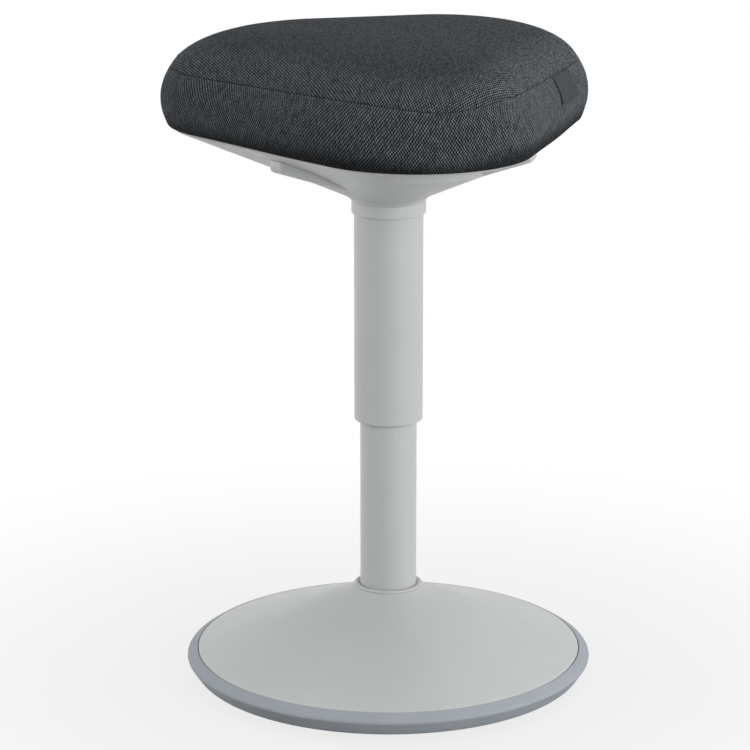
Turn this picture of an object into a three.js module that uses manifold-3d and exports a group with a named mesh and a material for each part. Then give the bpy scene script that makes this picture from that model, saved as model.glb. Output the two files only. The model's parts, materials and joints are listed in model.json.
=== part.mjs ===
// Wobble stool: a padded three-cornered seat on a gas lift that stands in a weighted, rounded base.
// Millimetres, +Z up. The origin is the middle of the flat underneath, on the column's axis.
// The front corner of the seat points along -Y, and the two release levers lie on either side of it.

import * as THREE from 'three';
import { mergeVertices } from 'three/addons/utils/BufferGeometryUtils.js';
import Module from 'manifold-3d';

const wasm = await Module();
wasm.setup();

// Turn, clearances and counts
const fullTurn = 360; // degrees
const seatGap = 0.3; // between two pieces that rest on each other
const slideGap = 0.35; // around what slides or turns
const cutOverrun = 2; // how far a cutting body runs past what it cuts
const roundSegments = 52; // around the base
const tubeSegments = 32; // around what shows of the column
const boreSegments = 24; // around what is hidden in the column
const smallSegments = 12; // around pins and fasteners
const hexSides = 6; // of a bolt's head
const seatSegments = 60; // around the shell, the board and the cushion
const plateSegments = 36; // around the lift head's top plate

// Rubber sole and rim, which the stool rolls on
const baseRadius = 190; // the widest part of the rim
const baseWidestHeight = 20.9;
const restRadius = 76.5; // the flat that the stool stands on
const rollRadius = 780; // of the curve from the flat out to the rim
const treadInset = 9.4; // from the widest part in to where the rolling surface turns up
const shoulderDrop = 2.4; // from the shoulder down to the widest part
const shoulderInset = 1.5;
const rimWidth = 32; // of the rubber rim, from its widest part inward
const soleTop = 11.7;

// Ballast and the foot of the column
const ballastThickness = 12;
const flangeRadius = 58;
const flangeThickness = 6;
const boltCircleRadius = 44;
const boltCount = 4;
const boltRadius = 4;
const boltHeadAcrossCorners = 15;
const boltHeadHeight = 5.3;
const boltHoleGap = 0.4;
const boltTipGap = 1; // from a bolt's end to the sole

// Cover: a shallow cone of sheet that springs from the rim up to the column
const coverInset = 10.7; // from the rim's widest part in to the cover's edge
const coverEdgeHeight = 28.5; // of its upper surface, at the rim
const coverTopHeight = 88; // of its upper surface, at the trim ring
const coverTopRadius = 31.6;
const coverFlare = 2.3; // how far its top turns up above the cone
const coverFlareExponent = 24;
const coverSag = 4; // how far the cone is hollowed below a straight line
const coverWall = 2.6;
const coverShares = [0, 0.02, 0.05, 0.1, 0.22, 0.41, 0.6, 0.8, 1]; // of the way out
const coverRibCount = 8;
const coverRibThickness = 2.4;
const coverRibDepth = 12;
const coverRibStart = 64;
const coverRibEnd = 150;
const coverSpigotWall = 2.6;
const coverSpigotLength = 20;
const coverHoleGap = 1.6; // around the column

// Collar ring on top of the cover
const collarRingRadius = 31.4;
const collarRingRise = 2.3; // from the cover's top up to its own
const collarRingFloorRise = 1; // from the cover's top up to the recess inside the lip
const collarRingBead = 3.2; // width of its rolled lip
const collarRingFlankShare = 0.55; // of the lip's height, where its top rounds over
const collarRingSkin = 1.6;

// Column: fixed tube, guide bush and the gas lift inside it
const tubeRadius = 26.25;
const tubeWall = 2;
const tubeOverlap = 40; // how much of it is inside the sleeve at full height
const guideLength = 90;
const guideLip = 3;
const guideLipWidth = 2; // how far the lip covers the tube's end
const liftStroke = 150;
const cylinderRadius = 14;
const cylinderWall = 2;
const glandLength = 10;
const rodRadius = 5;
const rodEndRadius = 4;
const rodFootHeight = 25.6;
const clipGrooveRadius = 3;
const clipRadius = 8;
const clipThickness = 1.4;
const tubeFloorHeight = 30;
const tubeFloorThickness = 4;
const washerRadius = 13;
const washerThickness = 2;
const ballRadius = 1.5;
const ballCount = 8;
const ballCircleRadius = 9.5;
const ballSegments = 6;
const cageThickness = 1.1;
const cageWidth = 3.4;
const bumpStopLength = 9;
const bumpStopRadius = 12;
const bumpClearance = 2; // left under the cylinder at the lowest seat
const pistonLength = 10;
const pistonClearance = 3; // over the gland at the highest seat
const rodHeadLength = 2;

// Sleeve that hides the lift, and the collar over its top
const sleeveRadius = 31.75;
const sleeveWall = 2.2;
const sleeveLength = 208.8;
const sleeveLipRadius = 2.5; // of the rounding at its lower edge
const sleeveRoof = 3;
const collarRadius = 34.1;
const collarHeight = 13.5;
const collarLipRadius = 2;

// Seat shell: three ridges run from the hub out to the corners, with a scoop under each side
const hubHeight = 459.3;
const hubRadius = 34;
const shellRise = 60.9; // from the hub up to the rim's lower edge
const rimEdge = 3.5; // height of the rim's outer face
const shellWall = 3.5;
const ridgeExponent = 1.05; // a ridge rises almost evenly
const scoopExponent = 0.87; // the scoop rises quickly, then levels off
const shellRimInset = 12.2; // from the cushion's widest outline in to the rim
const shellRingShares = [0, 0.05, 0.14, 0.28, 0.44, 0.6]; // of the way from the hub to the rim
const gripStartShare = 0.755; // of the way from hub to rim, where the finger grip steps up
const gripEndShare = 0.97;
const gripWallShare = 0.02;
const gripDepth = 8;
const gripHalfAngle = 20; // degrees to each side of the front corner
const shellBossCircle = 142;
const shellBossRadius = 6;
const shellRibThickness = 2.4;
const shellRibHeight = 16;
const slotStart = 59; // of the lever's slot, from the column's axis
const slotEnd = 138.4;
const slotGap = 0.9; // on each side of the lever

// Seat board, in the cushion's recess
const boardInset = 24; // from the widest outline
const boardThickness = 11.7;
const boardRecessGap = 0.5;
const shellScrewRadius = 1.9;
const shellScrewLength = 26;
const screwHeadRadius = 4.4;
const screwHeadHeight = 2.4;
const screwHoleGap = 0.3;

// Cushion
const seatCornerCentre = 103; // from the column's axis to the centre of each corner's arc
const seatCornerRadius = 110; // of the widest outline
const cushionUndercut = 7; // from the widest outline in to the lower edge
const bulgeHeight = 22; // from the lower edge up to the widest outline
const seamHeight = 52.3; // from the lower edge up to the seam
const seamSway = 1.9; // how far the seam rises at the front and dips at the back
const seamInset = 10.2;
const seamCrease = 1.6;
const crownHeight = 38.1; // from the mean seam up to the middle of the seat
const crownEdgeExponent = 4.1;
const crownShoulderExponent = 0.7;
const seamHighAzimuth = 270; // degrees
const undercutExponent = 2;
const sideExponent = 2.3; // of the side's curve from the widest outline up to the seam

// Woven tag, sewn in the seam on the right-hand side
const tagAzimuth = 330; // degrees, the middle of that side
const tagWidth = 56;
const tagOffset = 27.5; // from the middle of that side to the tag's middle
const tagLength = 24;
const tagThickness = 1;
const tagStandOff = 0.9; // from the cushion's side to the tag
const tagSteps = 5;

// Lift head: takes the cylinder's taper, the lever pins and the seat board
const headRadius = 24;
const headHeight = 15;
const taperTopRadius = 13;
const taperLength = 20;
const plateCornerCentre = 52;
const plateCornerRadius = 22;
const plateThickness = 4;
const postWidth = 11;
const postInner = 15;
const earThickness = 3;
const earInner = 20;
const earOuter = 44;
const earHeight = 13;
const earFoot = 12; // from the head's underside to the ears' underside
const boardScrewCircle = 58;
const boardScrewRadius = 2.4;
const boardScrewLength = 14;
const boardScrewHeadRadius = 5;
const boardScrewHeadHeight = 2.6;

// Release levers and the valve that they press
const leverAzimuths = [210, 330]; // degrees
const leverWidth = 20;
const leverTip = 137;
const leverTipHeight = 42.1; // of its lower edge at the tip, above the hub
const leverTipDepth = 10.7;
const leverTipLowShare = 0.25; // of the tip's depth, where its end face starts
const leverTipHighShare = 0.8; // of the tip's depth, where its end face stops
const leverHeel = 60.5; // where the blade starts
const leverHeelHeight = 15.7; // of its lower edge there, above the hub
const leverHeelDepth = 10;
const leverFullness = 4.4; // how far its upper edge bulges above a straight line
const bladeSteps = 4;
const bladeEndShare = 0.96; // of the way out, where the rounding of the tip starts
const leverEdgeRound = 1.4;
const armWidth = 9;
const armNoseDepth = 3.8;
const armEndDepth = 3.6;
const armOverlap = 4; // how far the arm runs into the blade
const pivotDistance = 38;
const pivotHeight = 23; // above the hub
const pivotBossRadius = 5;
const pinRadius = 2;
const noseReach = 5.7; // from the column's axis to the arm's end
const spoolFlangeRadius = 9;
const spoolFlangeThickness = 2;
const spoolNeckRadius = 4.5;
const spoolNoseGap = 0.6; // over and under the arms' noses, which rock in the groove
const spoolLift = 3.4; // from the cylinder's top to the spool
const valveStemRadius = 3;
const valveStemLength = 14;

// Radii and heights that follow from the sizes above
const treadRadius = baseRadius - treadInset;
const rimInnerRadius = baseRadius - rimWidth;
const coverRadius = baseRadius - coverInset;
const ballastBottom = soleTop + seatGap;
const ballastTop = ballastBottom + ballastThickness;
const ballastRadius = rimInnerRadius - seatGap;
const flangeBottom = ballastTop + seatGap;
const flangeTop = flangeBottom + flangeThickness;
const collarRingTop = coverTopHeight + collarRingRise;
const collarRingFloor = coverTopHeight + collarRingFloorRise;
const tubeBore = tubeRadius - tubeWall;
const sleeveTop = hubHeight;
const sleeveBottom = sleeveTop - sleeveLength;
const tubeTop = sleeveBottom + tubeOverlap;
const lowerWasherBottom = tubeFloorHeight + tubeFloorThickness + seatGap;
const ballCentreHeight = lowerWasherBottom + washerThickness + seatGap + ballRadius;
const upperWasherBottom = ballCentreHeight + ballRadius + seatGap;
const bumpStopBottom = upperWasherBottom + washerThickness + seatGap;
const cylinderBottom = bumpStopBottom + bumpStopLength + bumpClearance + liftStroke;
const cylinderBore = cylinderRadius - cylinderWall;
const pistonBottom = cylinderBottom + glandLength + pistonClearance;
const headBottom = hubHeight + shellWall + 2 * seatGap;
const headTop = headBottom + headHeight;
const cylinderTop = headTop + slideGap;
const spoolBottom = cylinderTop + spoolLift;
const grooveBottom = spoolBottom + spoolFlangeThickness;
const noseBottom = grooveBottom + spoolNoseGap;
const grooveTop = noseBottom + armNoseDepth + spoolNoseGap;
const rimTop = hubHeight + seatGap + shellRise + rimEdge;
const cushionBottom = rimTop + seatGap;
const boardBottom = rimTop + seatGap;
const boardTop = boardBottom + boardThickness;
const plateTop = boardBottom - seatGap;
const plateBottom = plateTop - plateThickness;
const cornerAzimuths = [270, 30, 150]; // degrees, the front corner first
const cornerTurn = fullTurn / cornerAzimuths.length; // from one corner to the next

// Materials, by what each piece is made of
const finishes = {
  rubber: { color: 0x9aa0a4, roughness: 0.75, metalness: 0 },
  darkRubber: { color: 0x55595c, roughness: 0.85, metalness: 0 },
  castIron: { color: 0x3c3e40, roughness: 0.7, metalness: 0.6 },
  greyPaint: { color: 0xbdbfbe, roughness: 0.45, metalness: 0.1 },
  greyPlastic: { color: 0xb9bbba, roughness: 0.5, metalness: 0 },
  steel: { color: 0xa8abae, roughness: 0.35, metalness: 1 },
  blackSteel: { color: 0x2a2b2d, roughness: 0.4, metalness: 0.8 },
  nylon: { color: 0xdcdcd6, roughness: 0.55, metalness: 0 },
  alloy: { color: 0x9fa2a5, roughness: 0.5, metalness: 0.9 },
  plywood: { color: 0xb08d5e, roughness: 0.7, metalness: 0 },
  cloth: { color: 0x3c4144, roughness: 0.95, metalness: 0 },
  tagCloth: { color: 0x34373b, roughness: 0.6, metalness: 0 },
};

const stool = new THREE.Group();

// Turns degrees into radians.
function radians(degrees) {
  return THREE.MathUtils.degToRad(degrees);
}

// A closed geometry as a solid, with its faces turned outward if they came out the other way.
function solidFrom(geometry) {
  const bare = geometry.clone();
  bare.deleteAttribute('normal');
  bare.deleteAttribute('uv');
  const merged = mergeVertices(bare);
  const triVerts = new Uint32Array(merged.index.array);
  const vertProperties = new Float32Array(merged.attributes.position.array);
  const solid = new wasm.Manifold(new wasm.Mesh({ numProp: 3, vertProperties, triVerts }));
  if (solid.volume() > 0) {
    return solid;
  }
  for (let i = 0; i < triVerts.length; i += 3) {
    [triVerts[i + 1], triVerts[i + 2]] = [triVerts[i + 2], triVerts[i + 1]];
  }
  return new wasm.Manifold(new wasm.Mesh({ numProp: 3, vertProperties, triVerts }));
}

// A solid as a geometry that three.js can draw.
function geometryFrom(solid) {
  const mesh = solid.getMesh();
  const geometry = new THREE.BufferGeometry();
  const positions = new Float32Array(mesh.numProp * mesh.numVert);
  positions.set(mesh.vertProperties);
  geometry.setAttribute('position', new THREE.BufferAttribute(positions, mesh.numProp));
  geometry.setIndex(new THREE.BufferAttribute(new Uint32Array(mesh.triVerts), 1));
  return geometry.toNonIndexed();
}

// Adds one named piece to the stool.
function addPiece(name, finish, solid) {
  const geometry = geometryFrom(solid);
  geometry.computeVertexNormals();
  const mesh = new THREE.Mesh(geometry, new THREE.MeshStandardMaterial(finishes[finish]));
  mesh.name = name;
  stool.add(mesh);
}

// Revolves a closed profile of [radius, height] points about the column's axis.
function revolve(profile, segments) {
  const points = profile.map(([radius, height]) => new THREE.Vector2(radius, height));
  points.push(points[0].clone());
  const geometry = new THREE.LatheGeometry(points, segments);
  geometry.rotateX(Math.PI / 2);
  return solidFrom(geometry);
}

// A flat ring or, with no inner radius, a disc.
function ring(innerRadius, outerRadius, bottom, top, segments) {
  const profile = [
    [innerRadius, bottom],
    [outerRadius, bottom],
    [outerRadius, top],
    [innerRadius, top],
  ];
  return revolve(profile, segments);
}

// An upright cylinder away from the axis, at a distance and an azimuth in degrees.
function post(radius, bottom, top, distance, azimuth, segments) {
  const geometry = new THREE.CylinderGeometry(radius, radius, top - bottom, segments);
  geometry.rotateX(Math.PI / 2);
  geometry.translate(distance, 0, (bottom + top) / 2);
  geometry.rotateZ(radians(azimuth));
  return solidFrom(geometry);
}

// A box from one distance to another along an azimuth, centred across it or moved aside.
function beam(start, end, width, bottom, top, azimuth, aside = 0) {
  const geometry = new THREE.BoxGeometry(end - start, width, top - bottom);
  geometry.translate((start + end) / 2, aside, (bottom + top) / 2);
  geometry.rotateZ(radians(azimuth));
  return solidFrom(geometry);
}

// A side view of [distance, height] points, given a width across an azimuth.
function sideProfile(points, width, azimuth, edgeRound = 0) {
  const shape = new THREE.Shape(points.map(([distance, height]) => new THREE.Vector2(distance, height)));
  const geometry = new THREE.ExtrudeGeometry(shape, {
    depth: width - 2 * edgeRound,
    bevelEnabled: edgeRound > 0,
    bevelThickness: edgeRound,
    bevelSize: edgeRound,
    bevelOffset: -edgeRound,
    bevelSegments: 2,
    steps: 1,
  });
  geometry.rotateX(Math.PI / 2);
  geometry.translate(0, width / 2 - edgeRound, 0);
  geometry.rotateZ(radians(azimuth));
  return solidFrom(geometry);
}

// Joins rings of points, each with as many points as the next, into one closed body.
// A ring of one point closes an end; otherwise the last ring joins the first.
function loft(rings) {
  const count = Math.max(...rings.map((points) => points.length));
  const positions = [];
  const corner = (row, column) => {
    const points = rings[row % rings.length];
    return points[points.length === 1 ? 0 : column % count];
  };
  const closedEnds = rings[0].length === 1;
  const bands = closedEnds ? rings.length - 1 : rings.length;
  const face = (a, b, c) => {
    positions.push(...a.toArray(), ...b.toArray(), ...c.toArray());
  };
  for (let row = 0; row < bands; row += 1) {
    for (let column = 0; column < count; column += 1) {
      const a = corner(row, column);
      const b = corner(row, column + 1);
      const c = corner(row + 1, column + 1);
      const d = corner(row + 1, column);
      if (a !== b) {
        face(a, b, c);
      }
      if (c !== d) {
        face(a, c, d);
      }
    }
  }
  const geometry = new THREE.BufferGeometry();
  geometry.setAttribute('position', new THREE.Float32BufferAttribute(positions, 3));
  return solidFrom(geometry);
}

// Degrees from an azimuth to the nearest mark, where marks repeat at a period from the front corner.
function turnFromFront(azimuth, period) {
  const beyond = THREE.MathUtils.euclideanModulo(azimuth - cornerAzimuths[0], period);
  return Math.min(beyond, period - beyond);
}

// Distance from the axis to a triangle with round corners, at an azimuth in degrees.
// Near a corner that is the corner's arc, and between corners the straight side.
function outlineRadius(azimuth, cornerCentre, cornerRadius) {
  const fromCorner = turnFromFront(azimuth, cornerTurn);
  const halfTurn = radians(cornerTurn / 2);
  const arcEnd = Math.atan2(
    cornerRadius * Math.sin(halfTurn),
    cornerCentre + cornerRadius * Math.cos(halfTurn),
  );
  const angle = radians(fromCorner);
  if (angle <= arcEnd) {
    const across = cornerCentre * Math.sin(angle);
    return cornerCentre * Math.cos(angle) + Math.sqrt(cornerRadius ** 2 - across ** 2);
  }
  return (cornerCentre / 2 + cornerRadius) / Math.cos(halfTurn - angle);
}

// One ring of the seat: a point at each azimuth, from a radius and a height that may follow it.
function seatRing(radiusAt, heightAt, segments = seatSegments) {
  const points = [];
  for (let column = 0; column < segments; column += 1) {
    const azimuth = (column * fullTurn) / segments;
    const radius = radiusAt(azimuth);
    const angle = radians(azimuth);
    points.push(
      new THREE.Vector3(radius * Math.cos(angle), radius * Math.sin(angle), heightAt(azimuth, radius)),
    );
  }
  return points;
}

// The seat's widest outline, drawn in by an inset.
function insetOutline(azimuth, inset) {
  return outlineRadius(azimuth, seatCornerCentre, seatCornerRadius - inset);
}

// A slab with the seat's outline.
function outlineSlab(cornerCentre, cornerRadius, bottom, top, segments) {
  const radiusAt = (azimuth) => outlineRadius(azimuth, cornerCentre, cornerRadius);
  const edges = [bottom, top].map((height) => seatRing(radiusAt, () => height, segments));
  const ends = [bottom, top].map((height) => [new THREE.Vector3(0, 0, height)]);
  return loft([ends[0], ...edges, ends[1]]);
}

// Height of the rolling surface at a distance from the axis: flat, then a circular curve.
function rollingHeight(radius) {
  const beyond = Math.max(radius - restRadius, 0);
  return rollRadius - Math.sqrt(rollRadius ** 2 - beyond ** 2);
}

// Height of the cover's upper surface at a distance from the axis.
function coverHeight(radius) {
  const share = (radius - coverTopRadius) / (coverRadius - coverTopRadius);
  const straight = THREE.MathUtils.lerp(coverTopHeight - coverFlare, coverEdgeHeight, share);
  const flare = coverFlare * (1 - share) ** coverFlareExponent;
  return straight - coverSag * 4 * share * (1 - share) + flare;
}

// Rubber under the base: the sole with its flat, and the rim that wraps the edge.
function buildRubber() {
  const soleRadius = rimInnerRadius - seatGap;
  const solePoints = [[0, 0], [restRadius, 0]];
  const curveSteps = 4;
  for (let step = 1; step <= curveSteps; step += 1) {
    const radius = THREE.MathUtils.lerp(restRadius, soleRadius, step / curveSteps);
    solePoints.push([radius, rollingHeight(radius)]);
  }
  solePoints.push([soleRadius, soleTop], [0, soleTop]);
  addPiece('rocker_sole', 'darkRubber', revolve(solePoints, roundSegments));

  const treadHeight = rollingHeight(treadRadius);
  const shoulderHeight = baseWidestHeight + shoulderDrop;
  const shoulderRadius = baseRadius - shoulderInset;
  const ledge = coverEdgeHeight - coverWall - seatGap;
  const cornerShares = [[0.35, 0.08], [0.75, 0.4], [0.95, 0.75]];
  const rimPoints = [[rimInnerRadius, rollingHeight(rimInnerRadius)], [treadRadius, treadHeight]];
  for (const [outShare, upShare] of cornerShares) {
    const radius = THREE.MathUtils.lerp(treadRadius, baseRadius, outShare);
    rimPoints.push([radius, THREE.MathUtils.lerp(treadHeight, baseWidestHeight, upShare)]);
  }
  rimPoints.push(
    [baseRadius, baseWidestHeight],
    [shoulderRadius, shoulderHeight],
    [coverRadius + seatGap, coverEdgeHeight],
    [coverRadius + seatGap, ledge],
    [rimInnerRadius, ledge],
  );
  addPiece('rubber_rim', 'rubber', revolve(rimPoints, roundSegments));
}

// Ballast disc with its threaded holes, and the flange that bolts the tube to it.
function buildBallast() {
  let ballast = ring(0, ballastRadius, ballastBottom, ballastTop, roundSegments);
  let flange = ring(tubeRadius + seatGap, flangeRadius, flangeBottom, flangeTop, tubeSegments);
  for (let index = 0; index < boltCount; index += 1) {
    const azimuth = ((index + 0.5) * fullTurn) / boltCount;
    const low = ballastBottom - cutOverrun;
    const high = flangeTop + cutOverrun;
    const holeRadius = boltRadius + boltHoleGap;
    const hole = post(holeRadius, low, high, boltCircleRadius, azimuth, smallSegments);
    ballast = ballast.subtract(hole);
    flange = flange.subtract(hole);
    const headBase = flangeTop + seatGap;
    const shankFoot = soleTop + boltTipGap;
    const headTopHeight = headBase + boltHeadHeight;
    const shank = post(boltRadius, shankFoot, headTopHeight, boltCircleRadius, azimuth, smallSegments);
    const headRadius = boltHeadAcrossCorners / 2;
    const head = post(headRadius, headBase, headTopHeight, boltCircleRadius, azimuth, hexSides);
    addPiece(`flange_bolt_${index + 1}`, 'steel', shank.add(head));
  }
  addPiece('ballast_plate', 'castIron', ballast);
  addPiece('tube_flange', 'blackSteel', flange);
}

// Cover: a thin cone with a spigot around the column and ribs on its hidden side.
function buildCover() {
  const outer = [];
  const inner = [];
  for (const share of coverShares) {
    const radius = THREE.MathUtils.lerp(coverTopRadius, coverRadius, share);
    outer.push([radius, coverHeight(radius)]);
    inner.unshift([radius, coverHeight(radius) - coverWall]);
  }
  const holeRadius = tubeRadius + coverHoleGap;
  const spigotRadius = holeRadius + coverSpigotWall;
  const spigotFoot = coverTopHeight - coverSpigotLength;
  const wallTop = coverTopHeight - coverWall;
  const spigot = [
    [spigotRadius, wallTop],
    [spigotRadius, spigotFoot],
    [holeRadius, spigotFoot],
    [holeRadius, coverTopHeight],
  ];
  let cover = revolve([...outer, ...inner, ...spigot], roundSegments);
  const ribLow = coverWall + coverRibDepth;
  const ribPoints = [
    [coverRibStart, coverHeight(coverRibStart) - coverWall / 2],
    [coverRibEnd, coverHeight(coverRibEnd) - coverWall / 2],
    [coverRibEnd, coverHeight(coverRibEnd) - coverWall - coverRibThickness],
    [coverRibStart, coverHeight(coverRibStart) - ribLow],
  ];
  for (let index = 0; index < coverRibCount; index += 1) {
    const azimuth = (index * fullTurn) / coverRibCount;
    cover = cover.add(sideProfile(ribPoints, coverRibThickness, azimuth));
  }
  addPiece('base_cover', 'greyPaint', cover);

  const lipMiddle = collarRingRadius - collarRingBead / 2;
  const lipFoot = coverTopHeight + seatGap;
  const ringInner = tubeRadius + slideGap;
  const lipFlank = THREE.MathUtils.lerp(lipFoot, collarRingTop, collarRingFlankShare);
  const profile = [
    [ringInner, collarRingFloor - collarRingSkin],
    [ringInner, collarRingFloor],
    [lipMiddle - collarRingBead / 2, collarRingFloor],
    [lipMiddle - collarRingBead / 2, lipFlank],
    [lipMiddle - collarRingBead / 4, collarRingTop],
    [lipMiddle + collarRingBead / 4, collarRingTop],
    [collarRingRadius, lipFlank],
    [collarRingRadius, lipFoot],
    [holeRadius - slideGap, lipFoot],
    [holeRadius - slideGap, collarRingFloor - collarRingSkin],
  ];
  addPiece('collar_ring', 'greyPlastic', revolve(profile, tubeSegments));
}

// Column tube with its floor, its guide bush and the bearing that carries the rod.
function buildColumn() {
  addPiece('column_tube', 'greyPaint', ring(tubeBore, tubeRadius, flangeBottom, tubeTop, tubeSegments));
  const floorTop = tubeFloorHeight + tubeFloorThickness;
  const rodHole = rodEndRadius + slideGap;
  const insideTube = tubeBore - seatGap;
  const floor = ring(rodHole, insideTube, tubeFloorHeight, floorTop, boreSegments);
  addPiece('tube_floor', 'blackSteel', floor);

  const guideBore = cylinderRadius + slideGap;
  const guideBottom = tubeTop - guideLength;
  const lipBottom = tubeTop + seatGap;
  const lipRadius = tubeBore + guideLipWidth - seatGap;
  const guide = [
    [guideBore, guideBottom],
    [insideTube, guideBottom],
    [insideTube, lipBottom],
    [lipRadius, lipBottom],
    [lipRadius, lipBottom + guideLip],
    [guideBore, lipBottom + guideLip],
  ];
  addPiece('guide_bush', 'nylon', revolve(guide, boreSegments));

  const washerTop = lowerWasherBottom + washerThickness;
  const lowerWasher = ring(rodHole, washerRadius, lowerWasherBottom, washerTop, smallSegments);
  addPiece('thrust_washer_lower', 'steel', lowerWasher);
  const upperTop = upperWasherBottom + washerThickness;
  const upperWasher = ring(rodHole, washerRadius, upperWasherBottom, upperTop, smallSegments);
  addPiece('thrust_washer_upper', 'steel', upperWasher);
  const cageInner = ballCircleRadius - cageWidth / 2;
  const cageOuter = ballCircleRadius + cageWidth / 2;
  const cageLow = ballCentreHeight - cageThickness / 2;
  let cage = ring(cageInner, cageOuter, cageLow, cageLow + cageThickness, smallSegments);
  for (let index = 0; index < ballCount; index += 1) {
    const ball = new THREE.SphereGeometry(ballRadius, ballSegments, ballSegments / 2);
    ball.rotateX(Math.PI / 2);
    ball.translate(ballCircleRadius, 0, ballCentreHeight);
    ball.rotateZ(radians((index * fullTurn) / ballCount));
    cage = cage.add(solidFrom(ball));
  }
  addPiece('ball_cage', 'steel', cage);
}

// Piston rod that stands on the bearing, with its clip, bump stop and piston.
function buildRod() {
  const clipTop = tubeFloorHeight - seatGap;
  const clipBottom = clipTop - clipThickness;
  const pistonTop = pistonBottom + pistonLength;
  const shoulder = bumpStopBottom - slideGap / 2;
  const rod = [
    [0, rodFootHeight],
    [rodEndRadius, rodFootHeight],
    [rodEndRadius, clipBottom - slideGap],
    [clipGrooveRadius, clipBottom - slideGap],
    [clipGrooveRadius, clipTop + slideGap / 2],
    [rodEndRadius, clipTop + slideGap / 2],
    [rodEndRadius, shoulder],
    [rodRadius, shoulder],
    [rodRadius, pistonBottom - seatGap],
    [rodEndRadius, pistonBottom - seatGap],
    [rodEndRadius, pistonTop + rodHeadLength],
    [0, pistonTop + rodHeadLength],
  ];
  addPiece('piston_rod', 'steel', revolve(rod, smallSegments));
  const clipBore = clipGrooveRadius + seatGap;
  const clip = ring(clipBore, clipRadius, clipBottom, clipTop, smallSegments);
  addPiece('rod_clip', 'blackSteel', clip);
  const stopBore = rodRadius + seatGap;
  const stopTop = bumpStopBottom + bumpStopLength;
  const stop = ring(stopBore, bumpStopRadius, bumpStopBottom, stopTop, smallSegments);
  addPiece('bump_stop', 'darkRubber', stop);
  const pistonBore = rodEndRadius + seatGap;
  const pistonRadius = cylinderBore - slideGap;
  const piston = ring(pistonBore, pistonRadius, pistonBottom, pistonTop, boreSegments);
  addPiece('piston', 'nylon', piston);
}

// Gas cylinder with its tapered head and gland, and the sleeve and collar around it.
function buildLift() {
  const taperBottom = cylinderTop - taperLength;
  const stemHole = valveStemRadius + slideGap;
  const cylinder = [
    [cylinderBore, cylinderBottom],
    [cylinderRadius, cylinderBottom],
    [cylinderRadius, taperBottom],
    [taperTopRadius, cylinderTop],
    [stemHole, cylinderTop],
    [stemHole, taperBottom],
    [cylinderBore, taperBottom],
  ];
  addPiece('gas_cylinder', 'blackSteel', revolve(cylinder, boreSegments));
  const glandRadius = cylinderBore - seatGap;
  const glandTop = cylinderBottom + glandLength;
  const glandBore = rodRadius + slideGap;
  const gland = ring(glandBore, glandRadius, cylinderBottom, glandTop, boreSegments);
  addPiece('cylinder_gland', 'alloy', gland);

  const bore = sleeveRadius - sleeveWall;
  const roofBottom = sleeveTop - sleeveRoof;
  const lip = [];
  const lipSteps = 3;
  for (let step = 0; step <= lipSteps; step += 1) {
    const angle = (step / lipSteps) * (Math.PI / 2);
    const inward = sleeveLipRadius * (1 - Math.sin(angle));
    const up = sleeveLipRadius * (1 - Math.cos(angle));
    lip.push([sleeveRadius - Math.min(inward, sleeveWall / 2), sleeveBottom + up]);
  }
  const sleeve = [
    [bore, sleeveBottom],
    ...lip,
    [sleeveRadius, sleeveTop],
    [cylinderRadius + seatGap, sleeveTop],
    [cylinderRadius + seatGap, roofBottom],
    [bore, roofBottom],
  ];
  addPiece('sleeve', 'greyPaint', revolve(sleeve, tubeSegments));

  const collarBottom = hubHeight - collarHeight;
  const chamfer = collarLipRadius / 2;
  const collar = [
    [sleeveRadius + seatGap, collarBottom],
    [collarRadius - chamfer, collarBottom],
    [collarRadius - chamfer / 4, collarBottom + chamfer / 2],
    [collarRadius, collarBottom + collarLipRadius],
    [collarRadius, hubHeight],
    [sleeveRadius + seatGap, hubHeight],
  ];
  addPiece('sleeve_collar', 'greyPlastic', revolve(collar, tubeSegments));
}

// How much of the scoop an azimuth has: none at a corner, all of it at the middle of a side.
function scoopShare(azimuth) {
  const turns = turnFromFront(azimuth, cornerTurn) / cornerTurn;
  return (1 - Math.cos(2 * Math.PI * turns)) / 2;
}

// How far the finger grip lifts the shell, at a share of the way from the hub to the rim.
function gripLift(azimuth, share) {
  const fromFront = turnFromFront(azimuth, fullTurn);
  if (fromFront >= gripHalfAngle || share <= gripStartShare || share >= gripEndShare) {
    return 0;
  }
  const across = Math.sqrt(Math.cos((Math.PI / 2) * (fromFront / gripHalfAngle)));
  const fromStart = Math.min((share - gripStartShare) / gripWallShare, 1);
  const toEnd = (gripEndShare - share) / (gripEndShare - gripStartShare - gripWallShare);
  return gripDepth * across * fromStart * Math.min(toEnd, 1);
}

// Height of the shell's outer face at a share of the way from the hub to the rim.
function shellHeight(azimuth, share) {
  const exponent = THREE.MathUtils.lerp(ridgeExponent, scoopExponent, scoopShare(azimuth));
  const bottom = hubHeight + seatGap;
  return bottom + shellRise * share ** exponent + gripLift(azimuth, share);
}

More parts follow.
